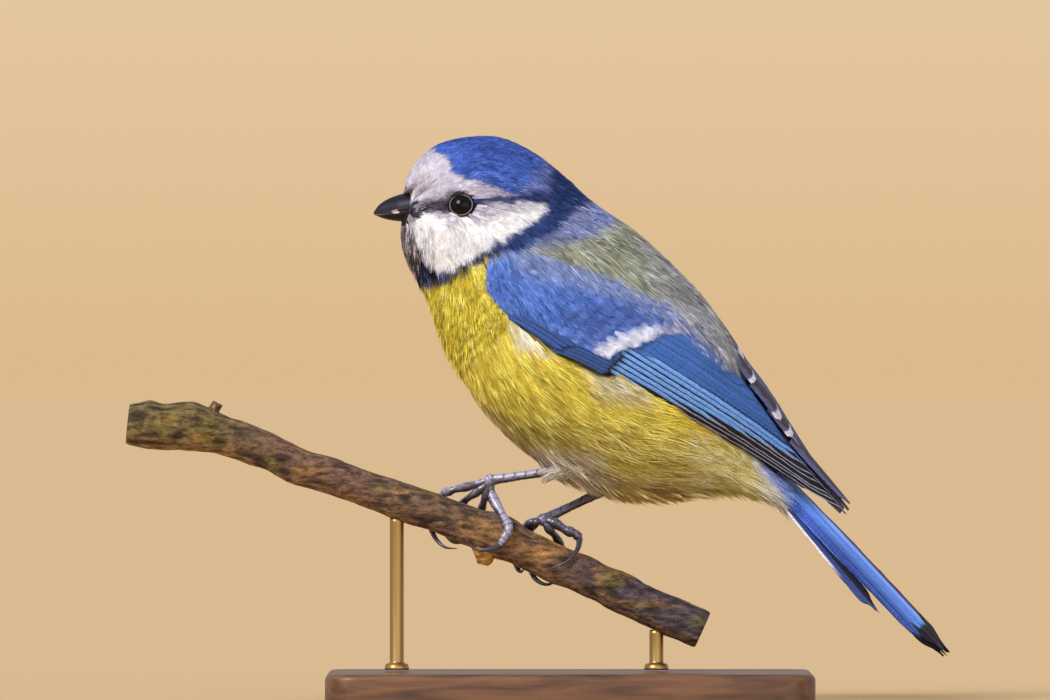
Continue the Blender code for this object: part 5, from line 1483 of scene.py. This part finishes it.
def make_foot(label, joint, scale, claw_finish):
    """The knuckle and four toes, closed round the branch, each with joints and a claw."""
    light, dark = SHANK_PAINTED_LIT[label], SHANK_PAINTED_SHADE[label]
    middle, _, _ = perch_at(joint[0])
    centre = np.array([middle[0], PERCH_Y, middle[1]])
    parts = []
    for toe, (sense, bones, hook) in TOES[label].items():
        thick = TOE_THICK[toe] * MM
        knots = np.array([joint] + [at_perch(x, z, sense, thick) for x, z in bones])
        count = 64
        share = np.linspace(0, 1, count)
        pad_swell = 1 + 0.13 * np.cos(share * 3.4 * 2 * math.pi)
        pads = thick * pad_swell * (1 - 0.28 * smooth((share - 0.8) / 0.2))
        path = clear_of_perch(along(knots, np.linspace(0, len(knots) - 1, count)), pads)
        pads[0] *= 0.9
        outward = path.mean(0) - centre
        outward /= np.linalg.norm(outward)
        parts.append(scaled_rod(path, pads, SCUTE_TOE, outward, light, dark, 71))
        points = [at_perch(x, z, sense, 0.4 * MM) for x, z in hook]
        hooked = along(np.array([path[-6], path[-1]] + points), np.linspace(0, 4, 90))
        curve = hooked[20:]
        radii = CLAW_FROM + (CLAW_TO - CLAW_FROM) * np.linspace(0, 1, len(curve)) ** 1.2
        curve = clear_of_perch(curve, radii)
        rings, _, _ = rings_along(curve, radii, 24)
        shut, tris = close_ends(rings.reshape(-1, 3), grid_faces(len(curve), 24, closed=True), 24)
        node_name = "claw_" + label + "_" + toe
        fit(make_piece("horn_" + node_name, shut, tris, claw_finish), "claw_horn", node_name)
    turn = np.linspace(0, math.pi, 16)
    ball_path = joint + np.cos(turn)[:, None] * KNUCKLE_RADIUS * np.array([0.6, 0, 0.8])
    knuckle = scaled_rod(ball_path, np.maximum(np.sin(turn), 0.02) * KNUCKLE_RADIUS, SCUTE_TOE,
                         np.array([-0.5, -0.6, 0.6]), light, dark, 72)
    points, tris, colour = join(parts + [knuckle])
    foot = make_piece("scaled_foot_" + label, points, tris, scale, {"paint": colour})
    fit(foot, "leg_scale", "foot_" + label)


def make_shank(label, joint, heel, scale):
    """The bare shank from the heel's feathers down to the knuckle, a little waisted."""
    path = heel + np.linspace(-0.12, 0.97, 110)[:, None] * (joint - heel)
    share = np.linspace(0, 1, 110)
    radius = np.interp(share, (0, 0.15, 0.55, 0.9, 1), (0.95, 0.80, 0.66, 0.78, 0.9)) * MM
    outward = np.array([-0.25, -0.35, 0.9])
    points, tris, colour = scaled_rod(path, radius, SCUTE_SHANK, outward, SHANK_PAINTED_LIT[label],
                                      SHANK_PAINTED_SHADE[label], 73)
    shank = make_piece("scaled_shank_" + label, points, tris, scale, {"paint": colour})
    fit(shank, "leg_scale", "tarsus_" + label)


leg_finish = leg_material()
claw_finish = claw_material()
for leg_label, leg_joint, leg_heel in (("left", NEAR_JOINT, NEAR_HEEL), ("right", FAR_JOINT, FAR_HEEL)):
    make_foot(leg_label, leg_joint, leg_finish, claw_finish)
    make_shank(leg_label, leg_joint, leg_heel, leg_finish)


# Coat: small contour feathers in overlapping tufts that are split into fine points. They
# follow the lie of the plumage, are smallest on the face and longest on the belly and back.
# The lie of the plumage on the drawing: (across, down) of a spot, and degrees below level
LIE = np.array([
    (404, 192, -80), (412, 170, -66), (425, 153, -48), (445, 141, -22), (480, 137, 4),
    (515, 143, 18), (540, 158, 36), (575, 184, 42), (620, 222, 45), (680, 275, 50),
    (740, 345, 52), (785, 410, 52), (455, 185, -12), (500, 197, 8), (430, 204, -6),
    (422, 235, 82), (445, 235, 60), (460, 250, 52), (520, 218, 28), (470, 268, 50),
    (404, 240, 80), (430, 286, 66), (515, 248, 40), (555, 205, 50), (560, 245, 52),
    (440, 325, 62), (470, 380, 52), (500, 330, 56), (540, 360, 42), (485, 405, 46),
    (560, 420, 34), (600, 470, 20), (560, 465, 30), (660, 480, 14), (720, 470, 22),
    (780, 490, 44), (800, 540, 48), (660, 410, 28), (600, 270, 55), (650, 300, 55), (700, 345, 56),
])
WING_LIE = np.array([
    (490, 265, 75), (500, 290, 62), (530, 290, 48), (570, 300, 38), (610, 305, 36),
    (645, 325, 40), (560, 340, 34), (600, 350, 34), (540, 262, 42), (600, 280, 44),
    (650, 305, 46), (700, 345, 44),
])
FINGERS = 5
# Kinds of contour feather: length and half width in mm, height of the tip over the outline,
# how deep the points are cut, how much they spread, how far their tones differ, how much
# darker they are, and how rare the other tone is
KINDS = {
    "face": (1.8, 0.26, -0.12, 0.62, 0.25, 0.09, 0.0, 1.0),
    "crown": (2.8, 0.26, -0.12, 0.66, 0.25, 0.32, 0.0, 1.0),
    "bib": (2.3, 0.38, 0.12, 0.78, 0.50, 0.50, 0.0, 3.0),
    "neck": (3.2, 0.36, 0.00, 0.62, 0.30, 0.24, 0.0, 1.0),
    "back": (4.8, 0.45, 0.16, 0.68, 0.35, 0.28, 0.0, 1.2),
    "body": (4.8, 0.50, 0.18, 0.68, 0.40, 0.26, 0.0, 1.0),
    "belly": (6.0, 0.50, 0.24, 0.74, 0.50, 0.38, 0.0, 1.2),
    "vent": (7.0, 0.55, 0.30, 0.76, 0.60, 0.30, 0.0, 0.9),
    "covert": (3.0, 0.30, 0.08, 0.62, 0.22, 0.22, 0.0, 1.0),
    "fine line": (3.4, 0.48, -0.02, 0.86, 0.22, 0.50, 0.45, 1.0),
    "long line": (7.0, 0.75, 0.30, 0.88, 0.35, 0.60, 0.15, 1.2),
    "belly line": (11.0, 0.90, 0.42, 0.92, 0.60, 0.45, -0.05, 0.45),
    "bar": (1.7, 0.32, 0.20, 0.60, 0.40, 0.10, 0.0, 1.0),
    "thigh": (3.0, 0.45, 0.25, 0.74, 0.50, 0.28, 0.0, 1.0),
}
# The body's stations carried on over the root of the tail, where only feathers reach
COAT = np.vstack([BODY, [(37.2, 34.6, 35.0, 29.8, 3.6, 28), (40.6, 31.0, 38.6, 27.0, 3.0, 28)]])
COAT_PIECE = 7000
TAIL_CLEAR = 792
WING_OUTLINE = np.vstack([WING_LOWER, WING_UPPER[::-1]])
ARM = ((488, 256), (483, 275), (487, 290), (495, 303), (510, 314), (540, 324), (575, 341),
       (600, 356), (616, 352), (640, 343), (668, 334), (690, 334), (700, 338), (665, 300),
       (640, 288), (600, 270), (570, 264), (540, 252), (510, 247))
WING_PLUMAGE = ("#3159B0", "#7798E2")
WING_MARKS = (
    ("scapular veil", 9, "#5B70AE", "#A0ABCC", 0.85,
     ((505, 240), (600, 240), (720, 330), (700, 345), (660, 312), (610, 296), (560, 286), (520, 276))),
    ("greater coverts", 8, "#4260AE", "#6E88D0", 0.9,
     ((560, 318), (600, 300), (650, 310), (680, 330), (640, 340), (600, 352), (575, 340))),
    ("wing bar", 2.2, "#CDD2F0", "#FBFCFF", 1.0,
     ((596, 351), (600, 345), (606, 347), (610, 340), (617, 342), (622, 334), (629, 337), (634, 330),
      (641, 333), (646, 327), (652, 330), (658, 327), (664, 333), (656, 337), (650, 343), (643, 341),
      (637, 348), (630, 346), (624, 353), (617, 351), (610, 358), (603, 357))),
    ("bar's faint end", 5, "#8E93BE", "#C6C3DA", 0.9,
     ((660, 327), (676, 326), (690, 334), (672, 338), (664, 336))),
)


def lie_at(points, table):
    """Direction of the plumage at points, flat on the side view: near spots count most."""
    spot = drawn(points)
    away = ((spot[..., None, :] - table[:, :2]) ** 2).sum(-1) + 60.0
    weight = away ** -2.0
    angle = np.radians(table[:, 2])
    x = (weight * np.cos(angle)).sum(-1)
    z = -(weight * np.sin(angle)).sum(-1)
    size = np.hypot(x, z)
    return np.stack([x / size, 0 * x, z / size], -1)


def spread_out(count, start):
    """Evenly scattered triples from 0 to 1: multiples of the powers of a plastic number."""
    ratio = 1.2207440846
    steps = np.array([1 / ratio, 1 / ratio ** 2, 1 / ratio ** 3])
    return (0.5 + (start + np.arange(1, count + 1))[:, None] * steps) % 1


def frames_at(table, place, turn):
    """Point, and the two steps of the surface for a unit of place and a unit of turn."""
    step = 1e-3
    along_step = surface(table, place + step, turn) - surface(table, place - step, turn)
    round_step = surface(table, place, turn + step) - surface(table, place, turn - step)
    return surface(table, place, turn), along_step / (2 * step), round_step / (2 * step)


def scattered(table, first, last, spacing, start, low=-math.pi, high=math.pi):
    """Roots over a stretch of the surface at this mean distance, thinned to an even cover."""
    probe_place, probe_turn = np.meshgrid(np.linspace(first, last, 60), np.linspace(low, high, 80))
    _, a, b = frames_at(table, probe_place.ravel(), probe_turn.ravel())
    widest = np.linalg.norm(np.cross(a, b), axis=-1).max()
    draws = spread_out(int(widest * (last - first) * (high - low) / (spacing * MM) ** 2), start)
    place = first + (last - first) * draws[:, 0]
    turn = low + (high - low) * draws[:, 1]
    _, a, b = frames_at(table, place, turn)
    kept = draws[:, 2] * widest < np.linalg.norm(np.cross(a, b), axis=-1)
    return place[kept], turn[kept]


def tuft_shape(cut, spread):
    """One tuft on a unit patch: (along, across) of its points, its triangles, points' fingers.

    A narrow root widens to the middle, and from the cut on it is split into pointed fingers.
    """
    middle = 1 - cut
    edge = np.linspace(-1, 1, FINGERS + 1)
    points = [(0.0, -0.25), (0.0, 0.25), (middle * 0.5, -0.75), (middle * 0.5, 0.0), (middle * 0.5, 0.75)]
    points += [(middle, e) for e in edge]
    tris = [(0, 3, 2), (0, 1, 3), (1, 4, 3)]
    tris += [(2, 6, 5), (2, 3, 6), (3, 7, 6), (3, 8, 7), (3, 4, 8), (4, 9, 8), (4, 10, 9)]
    finger = [2] * 11
    for k in range(FINGERS):
        centre = (edge[k] + edge[k + 1]) / 2
        reach = 1 - 0.22 * abs(centre) ** 1.5 - (0.09 if k % 2 else 0.0)
        half_way = middle + (reach - middle) * 0.5
        out = centre * (1 + spread * 0.5)
        base = len(points)
        points += [(half_way, out - 0.115), (half_way, out + 0.115), (reach, centre * (1 + spread))]
        tris += [(5 + k, 6 + k, base), (6 + k, base + 1, base), (base, base + 1, base + 2)]
        finger += [k] * 3
    return np.array(points), np.array(tris), np.array(finger)


def lay_tufts(table, place, turn, kind, seed, lie_table, sunk, stand=0.0, wander=0.10):
    """Points of tufts set on a surface: each lies along the plumage from a root under it.

    Both sides are laid as the left one and then mirrored. A tuft's steps along and across are
    turned into steps of place and turn, so that it bends with the body. Its height rises from
    the skin to its tip, more where it stands up, and droops to both sides.
    """
    length, half_width, height, cut, spread = KINDS[kind][:5]
    side = np.where(turn < 0, -1.0, 1.0)
    turn = np.abs(turn)
    count = len(place)
    draw = np.random.default_rng(seed)
    shape, tris, finger = tuft_shape(cut, spread)
    here, a, b = frames_at(table, place, turn)
    normal = np.cross(a, b)
    normal /= np.linalg.norm(normal, axis=-1)[:, None]
    lie = lie_at(here, lie_table)
    lie = lie - normal * (lie * normal).sum(-1)[:, None]
    weak = np.linalg.norm(lie, axis=-1) < 0.25
    lie = np.where(weak[:, None], lie + 0.5 * a / np.linalg.norm(a, axis=-1)[:, None], lie)
    lie /= np.linalg.norm(lie, axis=-1)[:, None]
    cross = np.cross(normal, lie)
    sway = (draw.normal(0, wander, count) + 0.22 * noise(here, 2.6 * MM, seed))[:, None]
    lie, cross = lie * np.cos(sway) + cross * np.sin(sway), cross * np.cos(sway) - lie * np.sin(sway)
    length = length * np.exp(draw.normal(0, 0.14, count))
    ragged = draw.normal(0, 0.05, (count, len(shape))) * (shape[:, 0] > 0.6)
    bend = draw.normal(0, 0.12, count)[:, None] * shape[:, 0] ** 2
    far = length[:, None] * (shape[:, 0] + ragged)
    beside = half_width * shape[:, 1] * np.exp(draw.normal(0, 0.1, count))[:, None]
    beside = beside + bend * length[:, None] * 0.5
    step = (far[..., None] * lie[:, None] + beside[..., None] * cross[:, None]) * MM
    aa, ab, bb = (a * a).sum(-1), (a * b).sum(-1), (b * b).sum(-1)
    scale = 1 / (aa * bb - ab ** 2)
    along_part = (step * a[:, None]).sum(-1)
    round_part = (step * b[:, None]).sum(-1)
    d_place = (bb[:, None] * along_part - ab[:, None] * round_part) * scale[:, None]
    d_turn = (aa[:, None] * round_part - ab[:, None] * along_part) * scale[:, None]
    share = shape[:, 0]
    lift = height + draw.uniform(-0.06, 0.12, count) + np.asarray(stand) * length
    rise = -np.asarray(sunk * np.ones(count))[:, None] * (1 - share) ** 1.3 + lift[:, None] * share ** 1.4
    rise = rise - 0.45 * half_width ** 2 * shape[:, 1] ** 2 * share
    to_place = np.clip(place[:, None] + d_place, 0.02, len(table) - 1.0)
    to_turn = turn[:, None] + d_turn
    points = surface(table, to_place, side[:, None] * to_turn, rise * MM)
    shown = 10 + 3 * 2 + 3
    spots = surface(table, place + 0.85 * (to_place[:, shown] - place),
                    np.abs(turn + 0.85 * (to_turn[:, shown] - turn)))
    return points, tris, shape, finger, spots


def tuft_paint(laid, tones, kind, seed):
    """A colour for each point: between the two tones by strand, darker at the root.

    Neighbours share a tone in streaks, by noise drawn out along the way that the tufts point.
    """
    points, _, shape, finger, _ = laid
    differ, darker, rare = KINDS[kind][5:]
    draw = np.random.default_rng(seed)
    count = len(points)
    root = points[:, 0]
    ahead = (points[:, 19] - root)[:, [0, 2]]
    ahead /= np.linalg.norm(ahead, axis=1)[:, None]
    away = (root - root.mean(axis=0))[:, [0, 2]]
    drawn_out = np.stack([(away * ahead).sum(1) / 4.0, (away[:, 0] * ahead[:, 1] - away[:, 1] * ahead[:, 0]),
                          root[:, 1] * 0.5], -1)
    clump = 1.3 * noise(drawn_out, 0.8 * MM, seed) + 0.5 * noise(root, 3.5 * MM, seed + 1)
    each = draw.normal(0, 0.5, count) + 0.9 * clump
    strand = 1 / (1 + np.exp(-(each[:, None] + draw.normal(0, 1.3, (count, FINGERS))) * 1.3))
    strand = strand ** rare
    strand_tone = draw.normal(0, 0.7, (count, FINGERS)) + 0.8 * each[:, None] - 0.4 * differ
    bright = np.exp(differ * strand_tone - darker)
    ground, other = tones
    paint = mix(ground[:, None, :], other[:, None, :], strand) * bright[..., None]
    root_tone = np.interp(KINDS[kind][0], (1.8, 3.5), (0.96, 0.58))
    tall = root_tone + (1.14 - root_tone) * shape[:, 0]
    return np.clip(paint[:, finger] * tall[:, None], 0, 1)


def coat_material():
    """Soft contour feathers: the strand's own colour, matt, with a faint uneven tone."""
    soft, tree, shader = new_material("soft contour feathers")
    set_shader(shader, Roughness=0.8, Specular_IOR_Level=0.12)
    paint = node(tree, "Attribute", attribute_name="paint")
    place = node(tree, "TexCoord")
    fine = node(tree, "TexNoise", [("Vector", place.outputs["Object"])], Scale=3000.0, Detail=2.0)
    shade = node(tree, "MapRange", [("Value", fine.outputs["Fac"])], To_Min=0.86, To_Max=1.14)
    tone = node(tree, "VectorMath", [(0, paint.outputs["Color"]), ("Scale", shade.outputs["Result"])],
                operation="SCALE")
    tree.links.new(tone.outputs["Vector"], shader.inputs["Base Color"])
    return soft


def make_coat_piece(name, slot, place, turn, laid, paint, soft):
    """The tufts joined in pieces under the limit, each tuft a small patch of OFBake."""
    points, tris, shape, _, _ = laid
    size = len(shape)
    patch = np.stack([shape[:, 1] * 0.0015, (shape[:, 0] - 0.5) * 0.003], -1)
    uv = np.clip(unwrapped(place, turn), 0.002, 0.998)[:, None, :] + patch
    for number, start in enumerate(range(0, len(points), COAT_PIECE)):
        part = slice(start, start + COAT_PIECE)
        count = len(points[part])
        faces = (np.arange(count)[:, None, None] * size + tris).reshape(-1, 3)
        piece = make_piece(f"{name}_{number}", points[part], faces, soft,
                           {"paint": paint[part].reshape(-1, 3)}, uv=uv[part].reshape(-1, 2))
        fit(piece, slot)


def outside_eyes(points, least):
    """True for points that lie farther than this from both eyes' lines of sight."""
    clear = np.ones(len(points), bool)
    for side in (1, -1):
        here, out = eye_frame(side)
        away = points - here
        away = away - (away @ out)[:, None] * out
        clear &= (np.linalg.norm(away, axis=-1) > least) | (points[:, 1] * side > 0)
    return clear


def turn_of_middle(place):
    """The turn half way between the folded wing's lower and upper edge at these places."""
    low_place, low_turn = wrap(WINGS, WING_LOWER)
    top_place, top_turn = wrap(WINGS, WING_UPPER)
    return 0.5 * (np.interp(place, low_place, low_turn) + np.interp(place, top_place, top_turn))


EYE_CLEAR, TIP_CLEAR = 2.03 * MM, 1.92 * MM  # least way from an eye's line to a tuft's root and tips
BILL_CLEAR = 1.5  # how far a tuft may reach into the drawn root of the bill


def body_coat(name, slot, first, last, spacing, kind, seed, soft, chosen=None, stand=0.0):
    """A stretch of the body's coat in its markings, left out where a folded wing hides it.

    It may be kept to where a function of the spot on the drawing and of the turn is true.
    """
    place, turn = scattered(COAT, first, last, spacing, seed)
    left = surface(COAT, place, np.abs(turn))
    spot = drawn(left)
    outline = drawn(np.insert(WING_OUTLINE, 1, 0, axis=1) * MM)
    near_top = turn_of_middle(place) > np.abs(turn)
    kept = depth_inside(spot, outline) < np.where(near_top, 8.0, np.where(spot[:, 0] > 540, -1.5, 1.0))
    kept &= outside_eyes(surface(COAT, place, turn), EYE_CLEAR)
    if chosen:
        kept &= chosen(spot, np.abs(turn))
    place, turn = place[kept], turn[kept]
    sunk = coat_depth(place) / MM
    laid = lay_tufts(COAT, place, turn, kind, seed, LIE, sunk, stand)
    laid = (drawn_in(laid[0], drawn(laid[0])), *laid[1:])
    clear = outside_eyes(laid[0][:, 19], TIP_CLEAR) & outside_eyes(laid[0][:, 7], TIP_CLEAR)
    clear &= depth_inside(drawn(laid[0][:, 19]), BILL_ROOT) < BILL_CLEAR
    over_wing = depth_inside(drawn(laid[4]), outline)
    uneven = np.random.default_rng(seed).uniform(-1.5, 2.5, len(over_wing))
    clear &= drawn(laid[0][:, 19])[:, 0] < TAIL_CLEAR + 4 * uneven
    uneven = uneven - (2.0 + 6.0 * KINDS[kind][1]) * smooth((spot[kept, 0] - 530) / 20)
    clear &= over_wing < np.where(near_top[kept], np.where(spot[kept, 0] > 640, 5.0, 12.0), uneven)
    place, turn = place[clear], turn[clear]
    laid = tuple(part[clear] if k in (0, 4) else part for k, part in enumerate(laid))
    paint = tuft_paint(laid, markings(laid[4]), kind, seed)
    make_coat_piece(name, slot, place, turn, laid, paint, soft)


def wing_coat(label, side, seed, soft, kind, spacing, within):
    """Lesser and median coverts, or the white wing bar, as tufts over the folded arm."""
    low, high = (0.02, 2.6) if side > 0 else (-2.6, -0.02)
    place, turn = scattered(WINGS, 5.0, 13.5, spacing, seed, low, high)
    spot = drawn(surface(WINGS, place, np.abs(turn)))
    kept = depth_inside(spot, ARM) > 0
    place, turn = place[kept], turn[kept]
    laid = lay_tufts(WINGS, place, turn, kind, seed, WING_LIE, 0.35, stand=0.01)
    kept = depth_inside(drawn(laid[4]), within) > -1.0
    place, turn = place[kept], turn[kept]
    laid = tuple(part[kept] if k in (0, 4) else part for k, part in enumerate(laid))
    spots = drawn(laid[4])
    tones = [np.broadcast_to(linear(paint), laid[4].shape).copy() for paint in WING_PLUMAGE]
    for _, soft_edge, ground, other, strength, outline in WING_MARKS:
        share = strength * smooth((depth_inside(spots, outline) + soft_edge) / (2 * soft_edge))
        tones = [mix(tone, linear(paint), share) for tone, paint in zip(tones, (ground, other))]
    paint = tuft_paint(laid, tones, kind, seed)
    make_coat_piece(kind + "_tufts_" + label, "plumage_back", place, turn, laid, paint, soft)


def thigh_coat(label, hip, heel, seed, soft):
    """Fluff round the leg where it leaves the belly: tufts on a tapering sleeve about the heel."""
    ahead = (heel - hip)[[0, 2]] / MM
    reach = np.hypot(*ahead)
    up = np.array([ahead[1], -ahead[0]]) / reach
    rows = []
    for share, radius in ((1.35, 0.75), (1.12, 0.95), (0.98, 1.25), (0.72, 2.0), (0.4, 2.8), (0.0, 3.3)):
        middle = hip[[0, 2]] / MM + ahead * share
        rows.append((*(middle + up * radius), *(middle - up * radius), radius, 0))
    sleeve = np.array(rows)
    angle = math.degrees(math.atan2(-ahead[1], ahead[0]))
    lie = np.array([(570.0, 460.0, angle), (620.0, 440.0, angle)])
    place, turn = scattered(sleeve, 1.6 if label == "left" else 2.6, 4.9, 0.42, seed)
    laid = lay_tufts(sleeve, place, turn, "thigh", seed, lie, 0.5, stand=0.05, wander=0.22)
    for points in (laid[0], laid[4]):
        points[..., 1] += heel[1]
    tones = [np.broadcast_to(linear(tone), laid[4].shape) for tone in ("#A8987C", "#F1EBDF")]
    paint = tuft_paint(laid, tones, "thigh", seed)
    body_place, body_turn = wrap(BODY, laid[0][:, 0][:, [0, 2]] / MM)
    make_coat_piece("thigh_tufts_" + label, "plumage_yellow", body_place, body_turn * -np.sign(heel[1]),
                    laid, paint, soft)


def in_bib(spot, turn):
    """The chin and throat, and the bib's ragged lower edge."""
    return ((spot[:, 0] < 430) & (spot[:, 1] > 218)) | ((spot[:, 0] < 500) & (spot[:, 1] > 262))


def off_white(spot, turn):
    """The head without its white parts, where lines would look soiled."""
    whites = [mark[5] for mark in MARKS if mark[0] in ("cheek", "forehead and brow")]
    return np.max([depth_inside(spot, white) for white in whites], axis=0) < 1.0


def on_back(spot, turn):
    """The upper side."""
    return turn < 1.5


def on_belly(spot, turn):
    """The lower side."""
    return turn >= 1.5


def below(spot, turn):
    """The underside, where the coat hangs loose."""
    return (turn > 2.45) & (spot[:, 0] > 500)


coat_finish = coat_material()
for number, (name, slot, first, last, spacing, kind, chosen, stand) in enumerate((
        ("face_feathers", "plumage_head", 0.3, 4.2, 0.26, "face", None, 0.0),
        ("crown_feathers", "plumage_head", 3.8, 7.2, 0.31, "crown", None, 0.0),
        ("head_lines", "plumage_head", 1.5, 8.2, 0.60, "fine line", off_white, 0.0),
        ("bib_feathers", "plumage_head", 0.3, 8.6, 0.42, "bib", in_bib, 0.2),
        ("neck_feathers", "plumage_head", 6.8, 9.0, 0.38, "neck", None, 0.0),
        ("back_feathers", "plumage_back", 8.4, 15.9, 0.46, "back", on_back, 0.0),
        ("back_lines", "plumage_back", 8.0, 15.9, 0.80, "long line", on_back, 0.0),
        ("breast_feathers", "plumage_yellow", 8.4, 11.2, 0.46, "body", on_belly, 0.0),
        ("belly_feathers", "plumage_yellow", 10.2, 14.6, 0.50, "belly", on_belly, 0.0),
        ("breast_lines", "plumage_yellow", 8.8, 11.0, 0.95, "long line", on_belly, 0.02),
        ("belly_lines", "plumage_yellow", 10.6, 14.6, 1.0, "belly line", on_belly, 0.02),
        ("loose_feathers", "plumage_yellow", 10.5, 16.0, 0.70, "vent", below, 0.17),
        ("vent_feathers", "plumage_yellow", 13.6, 16.3, 0.52, "vent", on_belly, 0.05))):
    body_coat(name, slot, first, last, spacing, kind, 100 + 7 * number, coat_finish, chosen, stand)
for wing_label, wing_side in (("left", 1), ("right", -1)):
    wing_coat(wing_label, wing_side, 110 + wing_side, coat_finish, "covert", 0.32, ARM)
    wing_coat(wing_label, wing_side, 120 + wing_side, coat_finish, "bar", 0.24, WING_MARKS[2][5])
thigh_coat("left", NEAR_THIGH, NEAR_HEEL, 131, coat_finish)
thigh_coat("right", FAR_THIGH, FAR_HEEL, 132, coat_finish)
